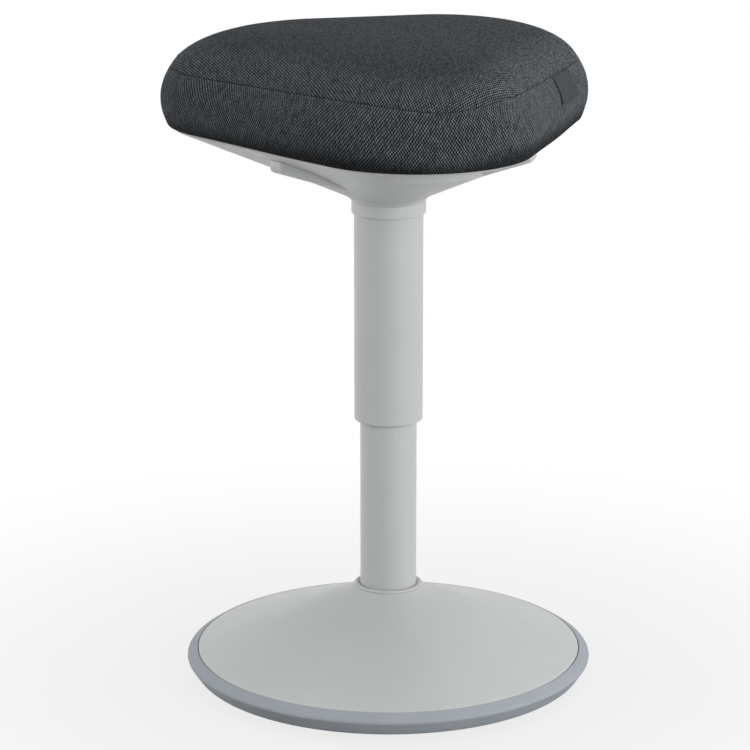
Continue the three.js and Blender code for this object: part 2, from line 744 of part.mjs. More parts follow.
// Seat shell: a moulded tray with ribs, screw bosses, two lever slots and a finger grip.
function buildShell() {
  const rimAt = (azimuth) => insetOutline(azimuth, shellRimInset);
  const insideAt = (azimuth) => insetOutline(azimuth, shellRimInset + shellWall);
  const shareAt = (azimuth, radius) => {
    const reach = (radius - hubRadius) / (rimAt(azimuth) - hubRadius);
    return THREE.MathUtils.clamp(reach, 0, 1);
  };
  const gripShares = [gripStartShare, gripStartShare + gripWallShare, gripEndShare, 1];
  const outerShares = [...shellRingShares, ...gripShares];
  const bore = cylinderRadius + slideGap;
  const floor = hubHeight + seatGap;
  const outerRings = outerShares.map((share) =>
    seatRing(
      (azimuth) => THREE.MathUtils.lerp(hubRadius, rimAt(azimuth), share),
      (azimuth) => shellHeight(azimuth, share),
    ),
  );
  const innerHeight = (azimuth, radius) => {
    const lifted = shellHeight(azimuth, shareAt(azimuth, radius)) + shellWall;
    return Math.min(lifted, rimTop - shellWall / 2);
  };
  const innerRings = [...outerShares].reverse().map((share) =>
    seatRing((azimuth) => THREE.MathUtils.lerp(hubRadius, insideAt(azimuth), share), innerHeight),
  );
  const rimRings = [rimAt, insideAt].map((radiusAt) => seatRing(radiusAt, () => rimTop));
  const hubRings = [floor + shellWall, floor].map((height) => seatRing(() => bore, () => height));
  let shell = loft([...outerRings, ...rimRings, ...innerRings, ...hubRings]);

  for (const azimuth of cornerAzimuths) {
    const bossShare = shareAt(azimuth, shellBossCircle + shellBossRadius);
    const bossFoot = shellHeight(azimuth, bossShare) + shellWall / 2;
    const bossTop = boardBottom - seatGap;
    shell = shell.add(post(shellBossRadius, bossFoot, bossTop, shellBossCircle, azimuth, smallSegments));
    const ribPoints = [
      [hubRadius, shellHeight(azimuth, 0) + shellWall / 2],
      [shellBossCircle, shellHeight(azimuth, shareAt(azimuth, shellBossCircle)) + shellWall / 2],
      [shellBossCircle, plateBottom - cutOverrun],
      [hubRadius + shellRibHeight, hubHeight + shellWall + shellRibHeight],
      [hubRadius, hubHeight + shellWall + shellRibHeight / 2],
    ];
    shell = shell.add(sideProfile(ribPoints, shellRibThickness, azimuth));
    const pilot = shellScrewRadius + screwHoleGap;
    const pilotFoot = boardTop - shellScrewLength - screwHoleGap - cutOverrun;
    const pilotTop = bossTop + cutOverrun;
    shell = shell.subtract(post(pilot, pilotFoot, pilotTop, shellBossCircle, azimuth, smallSegments));
  }
  for (const azimuth of leverAzimuths) {
    const slotWidth = leverWidth + 2 * slotGap;
    const low = hubHeight - cutOverrun;
    shell = shell.subtract(beam(slotStart, slotEnd, slotWidth, low, rimTop + cutOverrun, azimuth));
  }
  addPiece('seat_shell', 'greyPlastic', shell);
}

// Seat board, with the screws that hold the shell from above and the lift head from below.
function buildBoard() {
  const cornerRadius = seatCornerRadius - boardInset;
  let board = outlineSlab(seatCornerCentre, cornerRadius, boardBottom, boardTop, seatSegments);
  cornerAzimuths.forEach((azimuth, index) => {
    const low = boardBottom - cutOverrun;
    const high = boardTop + cutOverrun;
    const clearance = shellScrewRadius + screwHoleGap;
    const headSeat = boardTop - screwHeadHeight - screwHoleGap;
    const counterbore = screwHeadRadius + screwHoleGap;
    board = board.subtract(post(clearance, low, high, shellBossCircle, azimuth, smallSegments));
    board = board.subtract(post(counterbore, headSeat, high, shellBossCircle, azimuth, smallSegments));
    const screwFoot = boardTop - shellScrewLength;
    const shank = post(shellScrewRadius, screwFoot, boardTop, shellBossCircle, azimuth, smallSegments);
    const headFoot = headSeat + screwHoleGap;
    const head = post(screwHeadRadius, headFoot, boardTop, shellBossCircle, azimuth, smallSegments);
    addPiece(`shell_screw_${index + 1}`, 'steel', shank.add(head));

    const pilot = boardScrewRadius + screwHoleGap;
    const headTopHeight = plateBottom - seatGap;
    const tip = headTopHeight + boardScrewLength;
    board = board.subtract(post(pilot, low, tip + screwHoleGap, boardScrewCircle, azimuth, smallSegments));
    const upFoot = headTopHeight - boardScrewHeadHeight;
    const upShank = post(boardScrewRadius, upFoot, tip, boardScrewCircle, azimuth, smallSegments);
    const upRadius = boardScrewHeadRadius;
    const upHead = post(upRadius, upFoot, headTopHeight, boardScrewCircle, azimuth, smallSegments);
    addPiece(`board_screw_${index + 1}`, 'steel', upShank.add(upHead));
  });
  addPiece('seat_board', 'plywood', board);
}

// How far the cushion's side is drawn in, at a height above its lower edge.
function sideInset(height) {
  if (height < bulgeHeight) {
    return cushionUndercut * (1 - height / bulgeHeight) ** undercutExponent;
  }
  return seamInset * ((height - bulgeHeight) / (seamHeight - bulgeHeight)) ** sideExponent;
}

// How far the seam lies above or below its mean height.
function seamOffset(azimuth) {
  return seamSway * Math.cos(radians(azimuth - seamHighAzimuth));
}

// Cushion: drawn in at its lower edge, full at the side, creased at the seam and crowned on top.
function buildCushion() {
  const recessInset = boardInset - boardRecessGap;
  const recessTop = boardTop + seatGap;
  const seamLevel = cushionBottom + seamHeight;
  const sideShares = [0, 0.07, 0.17, 0.29, 0.42, 0.58, 0.74, 0.9, 1];
  const crownShares = [0.99, 0.965, 0.92, 0.85, 0.75, 0.62, 0.46, 0.24];
  const recessAt = (azimuth) => insetOutline(azimuth, recessInset);
  const recessRing = (height) => seatRing(recessAt, () => height);
  const sideRings = sideShares.map((share) => {
    const crease = share === 1 ? seamCrease : 0;
    const height = share * seamHeight;
    return seatRing(
      (azimuth) => insetOutline(azimuth, sideInset(height) + crease),
      (azimuth) => cushionBottom + height + share * share * seamOffset(azimuth),
    );
  });
  const crownRings = crownShares.map((share) => {
    const rise = (1 - share ** crownEdgeExponent) ** crownShoulderExponent;
    return seatRing(
      (azimuth) => share * insetOutline(azimuth, seamInset),
      (azimuth) => seamLevel + (1 - rise) * seamOffset(azimuth) + rise * crownHeight,
    );
  });
  const middle = new THREE.Vector3(0, 0, seamLevel + crownHeight);
  const cushion = loft([
    [new THREE.Vector3(0, 0, recessTop)],
    recessRing(recessTop),
    recessRing(cushionBottom),
    ...sideRings,
    ...crownRings,
    [middle],
  ]);
  addPiece('cushion', 'cloth', cushion);
}

// Tag: a thin strip that hangs from the seam and follows the cushion's side.
function buildTag() {
  const outward = radians(tagAzimuth);
  const direction = new THREE.Vector3(Math.cos(outward), Math.sin(outward), 0);
  const along = new THREE.Vector3(-direction.y, direction.x, 0);
  const sideDistance = seatCornerCentre / 2 + seatCornerRadius;
  const top = seamHeight - tagThickness;
  const section = (depth) => {
    const points = [];
    for (let step = 0; step <= tagSteps; step += 1) {
      const height = top - (tagLength * step) / tagSteps;
      const out = sideDistance - sideInset(height) + depth;
      points.push([out, cushionBottom + height]);
    }
    return points;
  };
  const near = section(tagStandOff);
  const far = section(tagStandOff + tagThickness).reverse();
  const edge = [...near, ...far];
  const shape = new THREE.Shape(edge.map(([out, height]) => new THREE.Vector2(out, height)));
  const geometry = new THREE.ExtrudeGeometry(shape, { depth: tagWidth, bevelEnabled: false, steps: 1 });
  geometry.rotateX(Math.PI / 2);
  geometry.translate(0, tagWidth / 2, 0);
  geometry.rotateZ(outward);
  geometry.translate(along.x * tagOffset, along.y * tagOffset, 0);
  addPiece('side_tag', 'tagCloth', solidFrom(geometry));
}

// Lift head: a casting with the taper's socket, three posts, a top plate and the levers' ears.
function buildHead() {
  const bottomBore = cylinderRadius + seatGap;
  const topBore = taperTopRadius + seatGap;
  const taperBottom = cylinderTop - taperLength;
  const boreAt = (height) => {
    const share = THREE.MathUtils.clamp((height - taperBottom) / taperLength, 0, 1);
    return THREE.MathUtils.lerp(bottomBore, topBore, share);
  };
  const block = [
    [boreAt(headBottom), headBottom],
    [headRadius, headBottom],
    [headRadius, headTop],
    [boreAt(headTop), headTop],
  ];
  let head = revolve(block, boreSegments);
  head = head.add(outlineSlab(plateCornerCentre, plateCornerRadius, plateBottom, plateTop, plateSegments));
  for (const azimuth of cornerAzimuths) {
    const postTop = plateBottom + cutOverrun;
    head = head.add(beam(postInner, headRadius, postWidth, headTop - cutOverrun, postTop, azimuth));
    const hole = boardScrewRadius + screwHoleGap;
    const low = plateBottom - cutOverrun;
    head = head.subtract(post(hole, low, plateTop + cutOverrun, boardScrewCircle, azimuth, smallSegments));
  }
  const pinBore = pinRadius + slideGap;
  const pinReach = leverWidth + 2 * cutOverrun;
  const pinHole = new THREE.CylinderGeometry(pinBore, pinBore, pinReach, smallSegments);
  const earLow = headBottom + earFoot;
  for (const azimuth of leverAzimuths) {
    const aside = armWidth / 2 + slideGap + earThickness / 2;
    for (const side of [-aside, aside]) {
      head = head.add(beam(earInner, earOuter, earThickness, earLow, earLow + earHeight, azimuth, side));
    }
    const hole = pinHole.clone();
    hole.translate(pivotDistance, 0, hubHeight + pivotHeight);
    hole.rotateZ(radians(azimuth));
    head = head.subtract(solidFrom(hole));
  }
  addPiece('lift_head', 'alloy', head);
}

// Release lever: a blade under the shell, an arm through its slot and a nose in the spool.
function buildLever(name, azimuth) {
  const tipLow = hubHeight + leverTipHeight;
  const heelLow = hubHeight + leverHeelHeight;
  const lowAt = (share) => THREE.MathUtils.lerp(heelLow, tipLow, share);
  const depthAt = (share) => {
    const straight = THREE.MathUtils.lerp(leverHeelDepth, leverTipDepth, share);
    return straight + leverFullness * 4 * share * (1 - share);
  };
  const upper = [];
  for (let step = bladeSteps; step >= 0; step -= 1) {
    const share = (bladeEndShare * step) / bladeSteps;
    const reach = THREE.MathUtils.lerp(leverHeel, leverTip, share);
    upper.push([reach, lowAt(share) + depthAt(share)]);
  }
  const bladePoints = [
    [leverHeel, heelLow],
    [THREE.MathUtils.lerp(leverHeel, leverTip, bladeEndShare), lowAt(bladeEndShare)],
    [leverTip, tipLow + leverTipDepth * leverTipLowShare],
    [leverTip, tipLow + leverTipDepth * leverTipHighShare],
    ...upper,
  ];
  const blade = sideProfile(bladePoints, leverWidth, azimuth, leverEdgeRound);

  const pivotLow = hubHeight + pivotHeight - pivotBossRadius;
  const pivotHigh = hubHeight + pivotHeight + pivotBossRadius;
  const armPoints = [
    [noseReach, noseBottom],
    [spoolFlangeRadius + pivotBossRadius, noseBottom],
    [pivotDistance - pivotBossRadius, pivotLow],
    [pivotDistance + pivotBossRadius, pivotLow],
    [leverHeel + armOverlap, heelLow + leverHeelDepth - armEndDepth],
    [leverHeel + armOverlap, heelLow + leverHeelDepth],
    [pivotDistance + pivotBossRadius, pivotHigh],
    [pivotDistance - pivotBossRadius, pivotHigh],
    [spoolFlangeRadius + pivotBossRadius, noseBottom + armNoseDepth],
    [noseReach, noseBottom + armNoseDepth],
  ];
  const arm = sideProfile(armPoints, armWidth, azimuth);
  const holeRadius = pinRadius + slideGap;
  const pinHole = new THREE.CylinderGeometry(holeRadius, holeRadius, leverWidth, smallSegments);
  pinHole.translate(pivotDistance, 0, hubHeight + pivotHeight);
  pinHole.rotateZ(radians(azimuth));
  addPiece(name, 'greyPlastic', blade.add(arm).subtract(solidFrom(pinHole)));

  const pinLength = armWidth + 2 * (slideGap + earThickness);
  const pin = new THREE.CylinderGeometry(pinRadius, pinRadius, pinLength, smallSegments);
  pin.translate(pivotDistance, 0, hubHeight + pivotHeight);
  pin.rotateZ(radians(azimuth));
  addPiece(name.replace('lever', 'pin'), 'steel', solidFrom(pin));
}

// Valve stem with the spool that both levers hold.
function buildValve() {
  const spoolTop = grooveTop + spoolFlangeThickness;
  const profile = [
    [0, spoolBottom - valveStemLength],
    [valveStemRadius, spoolBottom - valveStemLength],
    [valveStemRadius, spoolBottom],
    [spoolFlangeRadius, spoolBottom],
    [spoolFlangeRadius, grooveBottom],
    [spoolNeckRadius, grooveBottom],
    [spoolNeckRadius, grooveTop],
    [spoolFlangeRadius, grooveTop],
    [spoolFlangeRadius, spoolTop],
    [0, spoolTop],
  ];
  addPiece('valve_spool', 'nylon', revolve(profile, smallSegments));
}

buildRubber();
buildBallast();
buildCover();
buildColumn();
buildRod();
buildLift();
buildHead();
buildShell();
buildBoard();
buildCushion();
buildTag();
buildLever('lever_left', leverAzimuths[0]);
buildLever('lever_right', leverAzimuths[1]);
buildValve();

export default stool;
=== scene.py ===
"""Wobble stool: finished surfaces, cloth and light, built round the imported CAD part.

Metres, +Z up, the front corner of the seat along -Y, as in the CAD part. Sizes are fields in
millimetres, and MM turns them into metres where a mesh is made.
"""

from __future__ import annotations

import json
import logging
import math
from dataclasses import dataclass, field
from enum import Enum

import bpy
import numpy as np
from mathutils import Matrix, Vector

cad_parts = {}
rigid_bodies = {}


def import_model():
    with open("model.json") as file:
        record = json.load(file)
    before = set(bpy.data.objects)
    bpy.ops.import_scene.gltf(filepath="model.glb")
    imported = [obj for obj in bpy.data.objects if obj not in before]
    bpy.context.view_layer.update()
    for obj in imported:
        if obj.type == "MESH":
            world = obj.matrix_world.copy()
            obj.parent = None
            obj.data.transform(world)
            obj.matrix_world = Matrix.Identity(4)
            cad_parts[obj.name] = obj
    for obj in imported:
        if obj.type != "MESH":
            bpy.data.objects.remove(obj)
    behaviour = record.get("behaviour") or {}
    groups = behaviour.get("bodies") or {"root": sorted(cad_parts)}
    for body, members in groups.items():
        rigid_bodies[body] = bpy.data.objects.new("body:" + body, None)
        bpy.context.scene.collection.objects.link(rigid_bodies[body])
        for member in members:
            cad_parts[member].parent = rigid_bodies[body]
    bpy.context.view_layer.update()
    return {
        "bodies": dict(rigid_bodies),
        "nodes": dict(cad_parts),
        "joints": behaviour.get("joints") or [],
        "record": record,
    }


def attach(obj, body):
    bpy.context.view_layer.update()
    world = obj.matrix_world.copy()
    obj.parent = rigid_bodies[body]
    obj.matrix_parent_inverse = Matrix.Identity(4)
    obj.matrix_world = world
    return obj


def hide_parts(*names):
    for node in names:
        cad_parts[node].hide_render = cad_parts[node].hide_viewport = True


LOG = logging.getLogger("wobble_stool")
MM = 0.001
LEAST_LENGTH = 1e-12  # stands in for zero where a direction is divided by its length
SAME_POINT = 1e-4  # mm, points of an outline closer than this are one
ARC_ROOM = 0.42  # share of a short side that one corner's arc may take
FLAT_ROOM = 0.46  # and the arc with the flat point beyond it
FLAT_RUN = 0.5  # mm from an arc's end to that flat point
NOISE_RANGE = (0.3, 0.7)  # where nearly all of the noise lies
MIX_A, MIX_B, MIX_OUT = 6, 7, 2  # the Mix node's colour sockets
BLACK = (0.0, 0.0, 0.0)
WHITE = (1.0, 1.0, 1.0, 1.0)
FRONT = 270.0  # azimuth of the seat's front corner
Array = np.ndarray
Triple = tuple[float, float, float]
Colour = Triple


class Ends(Enum):
    """How the rows of a grid of points finish."""

    LOOP = "the last row joins the first"
    POLES = "the first and last rows close to a point each"


class Body(Enum):
    """The CAD bodies that pieces ride on."""

    BASE = "base"
    SEAT = "seat"
    LEFT_LEVER = "left_lever"
    RIGHT_LEVER = "right_lever"


# Shapes


def unit(vectors: Array) -> Array:
    """Vectors scaled to length one along their last axis."""
    return vectors / np.maximum(np.linalg.norm(vectors, axis=-1, keepdims=True), LEAST_LENGTH)


def smooth_step(low: float, high: float, value: Array) -> Array:
    """0 below low, 1 above high, and t squared times (3 - 2 t) between them."""
    t = np.clip((value - low) / (high - low), 0.0, 1.0)
    return t * t * (3.0 - 2.0 * t)


def bell(distance: Array, width: float) -> Array:
    """A bell curve: e to the minus square of the distance over the width."""
    return np.exp(-((distance / width) ** 2))


def azimuth_row(columns: int) -> Array:
    """One row of azimuths in degrees, evenly round the axis."""
    return np.linspace(0.0, 360.0, columns, endpoint=False)[None, :]


def angle_from(azimuth: Array, middle: float) -> Array:
    """Signed degrees from one azimuth to others, the short way round."""
    return (azimuth - middle + 180.0) % 360.0 - 180.0


def run_along(grid: Array) -> Array:
    """Distance along each column of a grid of points from its first row."""
    step = np.linalg.norm(np.diff(grid, axis=0), axis=-1)
    return np.concatenate([np.zeros((1, grid.shape[1])), np.cumsum(step, axis=0)])


def steps_round(ring: Array) -> Array:
    """Distance from each point of a closed ring to the next."""
    return np.linalg.norm(np.roll(ring, -1, axis=0) - ring, axis=-1)


def distinct(points: Array) -> Array:
    """A closed row of points without those that lie on the point before them."""
    step = np.linalg.norm(points - np.roll(points, 1, axis=0), axis=1)
    return points[step > SAME_POINT]


def rounded_outline(corners: list[Triple], steps: int = 6) -> Array:
    """A closed outline whose corners are circular arcs.

    At a corner P, with a and b the directions to its neighbours, the arc runs from P + t a to
    P + t b, where t is the radius over the tangent of half the corner's angle. It is a rational
    quadratic curve whose middle weight is the sine of that half angle. A point is added a little
    beyond each end of an arc, which keeps the straight stretches flat in the shading.

    Args:
        corners: x, y and radius of each corner, in order.
        steps: pieces that each arc is cut into.

    Returns:
        The outline's points, one row each.
    """
    table = np.array(corners, float)
    points, radii = table[:, :2], table[:, 2]
    back = np.roll(points, 1, axis=0) - points
    ahead = np.roll(points, -1, axis=0) - points
    room = np.minimum(np.linalg.norm(back, axis=1), np.linalg.norm(ahead, axis=1))
    a, b = unit(back), unit(ahead)
    half = np.arccos(np.clip((a * b).sum(1), -1.0, 1.0)) / 2.0
    cut = np.minimum(radii / np.tan(half), ARC_ROOM * room)
    spare = np.where(radii > 0, np.minimum(cut + FLAT_RUN, FLAT_ROOM * room), 0.0)
    weight = np.sin(half)[:, None, None]
    s = np.linspace(0.0, 1.0, steps + 1)[None, :, None]
    start, end = points + cut[:, None] * a, points + cut[:, None] * b
    top = (
        (1 - s) ** 2 * start[:, None]
        + 2 * weight * s * (1 - s) * points[:, None]
        + s**2 * end[:, None]
    )
    arcs = top / ((1 - s) ** 2 + 2 * weight * s * (1 - s) + s**2)
    before = (points + spare[:, None] * a)[:, None]
    after = (points + spare[:, None] * b)[:, None]
    return distinct(np.concatenate([before, arcs, after], axis=1).reshape(-1, 2))


def revolved(profile: Array, segments: int) -> Array:
    """Rings of points: each [radius, height] of the profile carried once round the axis.

    Args:
        profile: radii and heights, one row each.
        segments: points round each ring.

    Returns:
        Points as rows by columns by three.
    """
    angle = np.linspace(0.0, 2 * math.pi, segments, endpoint=False)
    radius, height = profile[:, :1], profile[:, 1:]
    x, y = radius * np.cos(angle), radius * np.sin(angle)
    return np.stack([x, y, height + 0 * x], axis=-1)


def band_faces(rows: int, columns: int, ends: Ends) -> Array:
    """Corner numbers of the quads between neighbouring rows, each row joining round.

    Args:
        rows: rings of points.
        columns: points in each ring.
        ends: whether the last ring joins the first.

    Returns:
        Four corner numbers for each quad.
    """
    bands = rows if ends is Ends.LOOP else rows - 1
    row, column = np.meshgrid(np.arange(bands), np.arange(columns), indexing="ij")
    below, above = row * columns, ((row + 1) % rows) * columns
    beside = (column + 1) % columns
    quads = [below + column, below + beside, above + beside, above + column]
    return np.stack(quads, axis=-1).reshape(-1, 4)


def volume_of(points: Array, faces: Array) -> float:
    """Six times the volume that the faces enclose, negative where they point inwards.

    Each quad a, b, c, d adds a . (b x c) and a . (c x d).

    Args:
        points: places of the corners.
        faces: four corner numbers for each face.

    Returns:
        The sum.
    """
    a, b, c, d = (points[faces[:, k]] for k in range(4))
    first = np.einsum("ij,ij->i", a, np.cross(b, c)).sum()
    return float(first + np.einsum("ij,ij->i", a, np.cross(c, d)).sum())


def new_piece(name: str, points: Array, faces: list[list[int]]) -> bpy.types.Object:
    """A new smooth shaded object.

    Args:
        name: the object's name.
        points: places in metres.
        faces: corner numbers of each face.

    Returns:
        The object, in the scene.
    """
    mesh = bpy.data.meshes.new(name)
    mesh.from_pydata(points.tolist(), [], faces)
    mesh.polygons.foreach_set("use_smooth", np.ones(len(mesh.polygons), bool))
    mesh.update()
    piece = bpy.data.objects.new(name, mesh)
    bpy.context.scene.collection.objects.link(piece)
    return piece


def closed_piece(name: str, rings: Array, ends: Ends) -> bpy.types.Object:
    """A closed surface through rings of points, with its faces turned outwards.

    With poles, the first and last rings shrink to their own middles, joined by triangles.

    Args:
        name: the new object's name.
        rings: points in millimetres, as rows by columns by three.
        ends: how the rows finish.

    Returns:
        The new object, smooth shaded.
    """
    rows, columns = rings.shape[:2]
    points = rings.reshape(-1, 3) * MM
    quads = band_faces(rows, columns, ends)
    outward = volume_of(points, quads) > 0
    if ends is Ends.POLES:
        middles = rings[[0, -1]].mean(axis=1) * MM
        points = np.concatenate([points, middles])
        here = np.arange(columns)
        beside = (here + 1) % columns
        low, high, last = rows * columns, rows * columns + 1, (rows - 1) * columns
        first_fan = np.stack([here * 0 + low, beside, here], axis=-1)
        last_fan = np.stack([here * 0 + high, last + here, last + beside], axis=-1)
        fans = np.concatenate([first_fan, last_fan])
        thin = np.concatenate([fans, fans[:, 2:]], axis=1)
        outward = volume_of(points, np.concatenate([quads, thin])) > 0
    else:
        fans = np.zeros((0, 3), int)
    if not outward:
        quads, fans = quads[:, ::-1], fans[:, ::-1]
    return new_piece(name, points, quads.tolist() + fans.tolist())


def places(mesh: bpy.types.Mesh) -> Array:
    """Reads where a mesh's vertices are.

    Args:
        mesh: the mesh.

    Returns:
        One row of three numbers for each vertex.
    """
    flat = np.zeros(len(mesh.vertices) * 3, np.float32)
    mesh.vertices.foreach_get("co", flat)
    return flat.reshape(-1, 3).astype(float)


def place(mesh: bpy.types.Mesh, points: Array) -> None:
    """Puts new places into a mesh's vertices."""
    mesh.vertices.foreach_set("co", points.astype(np.float32).ravel())
    mesh.update()


def facing(mesh: bpy.types.Mesh) -> Array:
    """Reads which way a mesh's vertices face.

    Args:
        mesh: the mesh.

    Returns:
        One unit vector for each vertex.
    """
    flat = np.zeros(len(mesh.vertices) * 3, np.float32)
    mesh.vertex_normals.foreach_get("vector", flat)
    return flat.reshape(-1, 3).astype(float)


def lay_map(mesh: bpy.types.Mesh, name: str, values: Array) -> None:
    """Adds a UV map with a pair of numbers for each corner of the faces."""
    layer = mesh.uv_layers.new(name=name)
    layer.data.foreach_set("uv", values.astype(np.float32).ravel())


def apply_modifiers(piece: bpy.types.Object) -> None:
    """Works a piece's modifiers into its mesh.

    Args:
        piece: the object, which gets the finished mesh.
    """
    graph = bpy.context.evaluated_depsgraph_get()
    finished = bpy.data.meshes.new_from_object(piece.evaluated_get(graph))
    piece.modifiers.clear()
    piece.data = finished


def finish_piece(
    piece: bpy.types.Object,
    body: Body,
    material: bpy.types.Material,
    slot: str,
    *nodes: str,
) -> None:
    """Dresses a piece, sets it on its body and lets it stand for its CAD nodes.

    Args:
        piece: the finished object.
        body: the CAD body that it moves with.
        material: its finish.
        slot: the record's name for that finish; not used.
        nodes: the CAD nodes that it stands for.
    """
    piece.data.materials.clear()
    piece.data.materials.append(material)
    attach(piece, body.value)
    if nodes:
        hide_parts(*nodes)
    LOG.info("%s: %d faces on %s", piece.name, len(piece.data.polygons), body.value)


# Finishes


class NodeBoard:
    """Short calls for laying out one material's shader nodes."""

    def __init__(self, name: str) -> None:
        """Starts a material that holds its shader and its output.

        Args:
            name: the material's name.
        """
        self.material = bpy.data.materials.new(name)
        self.material.use_nodes = True
        self.tree = self.material.node_tree
        self.shader = self.tree.nodes["Principled BSDF"]

    def node(self, kind: str, **settings: object) -> bpy.types.ShaderNode:
        """Adds a node.

        Args:
            kind: the node's type.
            settings: its properties by name.

        Returns:
            The node.
        """
        made = self.tree.nodes.new(kind)
        for key, value in settings.items():
            setattr(made, key, value)
        return made

    def link(self, start: bpy.types.NodeSocket, end: bpy.types.NodeSocket) -> None:
        """Joins two sockets."""
        self.tree.links.new(start, end)

    def feed(self, socket: bpy.types.NodeSocket, value: object) -> None:
        """Links a socket to another, or sets it to a number or colour."""
        if isinstance(value, bpy.types.NodeSocket):
            self.link(value, socket)
        else:
            socket.default_value = value

    def set(self, **values: float | Colour) -> None:
        """Sets sockets of the shader by name, with underscores for spaces."""
        for key, value in values.items():
            socket = self.shader.inputs[key.replace("_", " ")]
            socket.default_value = (*value, 1.0) if isinstance(value, tuple) else value

    def math(self, operation: str, *terms: object, clamp: bool = False) -> bpy.types.NodeSocket:
        """One step of arithmetic.

        Args:
            operation: the Math node's operation.
            terms: sockets or numbers, as many as the operation takes.
            clamp: whether the answer stays from 0 to 1.

        Returns:
            The answer's socket.
        """
        made = self.node("ShaderNodeMath", operation=operation, use_clamp=clamp)
        for socket, term in zip(made.inputs, terms):
            self.feed(socket, term)
        return made.outputs[0]

    def ranged(
        self,
        value: object,
        start: float,
        end: float,
        low: float = 0.0,
        high: float = 1.0,
        kind: str = "SMOOTHSTEP",
    ) -> bpy.types.NodeSocket:
        """A value's way from start to end, turned into one from low to high.

        Args:
            value: the socket that is read.
            start: value at which the answer is low.
            end: value at which the answer is high.
            low: first answer.
            high: last answer.
            kind: how it runs between them, eased at both ends or LINEAR.

        Returns:
            The answer's socket.
        """
        made = self.node("ShaderNodeMapRange", interpolation_type=kind)
        self.feed(made.inputs["Value"], value)
        made.inputs["From Min"].default_value = start
        made.inputs["From Max"].default_value = end
        made.inputs["To Min"].default_value = low
        made.inputs["To Max"].default_value = high
        return made.outputs[0]

    def mix(self, share: object, a: object, b: object) -> bpy.types.NodeSocket:
        """A colour between a and b.

        Args:
            share: 0 for a, 1 for b.
            a: first colour or socket.
            b: second colour or socket.

        Returns:
            The colour's socket.
        """
        made = self.node("ShaderNodeMix", data_type="RGBA")
        self.feed(made.inputs[0], share)
        self.feed(made.inputs[MIX_A], (*a, 1.0) if isinstance(a, tuple) else a)
        self.feed(made.inputs[MIX_B], (*b, 1.0) if isinstance(b, tuple) else b)
        return made.outputs[MIX_OUT]

    def place(self) -> bpy.types.NodeSocket:
        """The point on the object, in metres."""
        return self.node("ShaderNodeTexCoord").outputs["Object"]

    def surface(self, layer: str) -> tuple[bpy.types.NodeSocket, bpy.types.NodeSocket]:
        """Reads a piece's own UV map.

        Args:
            layer: the map's name.

        Returns:
            The sockets of its two coordinates, in metres.
        """
        source = self.node("ShaderNodeUVMap", uv_map=layer)
        parts = self.node("ShaderNodeSeparateXYZ")
        self.link(source.outputs[0], parts.inputs[0])
        return parts.outputs[0], parts.outputs[1]

    def noise(
        self, point: bpy.types.NodeSocket, size: float, detail: float = 2.0
    ) -> bpy.types.NodeSocket:
        """Smooth random spots.

        Args:
            point: where the noise is read.
            size: the spots' size in millimetres.
            detail: how many finer layers it has.

        Returns:
            The strength's socket, mostly from 0.3 to 0.7.
        """
        made = self.node("ShaderNodeTexNoise")
        made.inputs["Scale"].default_value = 1.0 / (size * MM)
        made.inputs["Detail"].default_value = detail
        self.link(point, made.inputs["Vector"])
        return made.outputs["Fac"]

    def stretched(self, size: Triple) -> bpy.types.NodeSocket:
        """The point on the object, drawn out for noise of 1 mm.

        Args:
            size: millimetres that a spot of the noise then has along each axis.

        Returns:
            The drawn-out point's socket.
        """
        made = self.node("ShaderNodeMapping")
        self.link(self.place(), made.inputs["Vector"])
        made.inputs["Scale"].default_value = tuple(1.0 / s for s in size)
        return made.outputs[0]

    def between(self, value: object, low: float, high: float) -> bpy.types.NodeSocket:
        """Noise spread from low to high."""
        return self.ranged(value, *NOISE_RANGE, low, high, "LINEAR")

    def bump(self, height: bpy.types.NodeSocket, depth: float) -> None:
        """Relief on the shader's normal, on top of any that is there.

        Args:
            height: relief from 0 to 1.
            depth: what 1 stands for, in millimetres.
        """
        made = self.node("ShaderNodeBump")
        made.inputs["Distance"].default_value = depth * MM
        made.inputs["Strength"].default_value = 1.0
        self.link(height, made.inputs["Height"])
        there = self.shader.inputs["Normal"]
        if there.is_linked:
            self.link(there.links[0].from_socket, made.inputs["Normal"])
        self.link(made.outputs[0], there)


def shade(colour: Colour, factor: float) -> Colour:
    """A colour made lighter or darker."""
    return tuple(min(part * factor, 1.0) for part in colour)


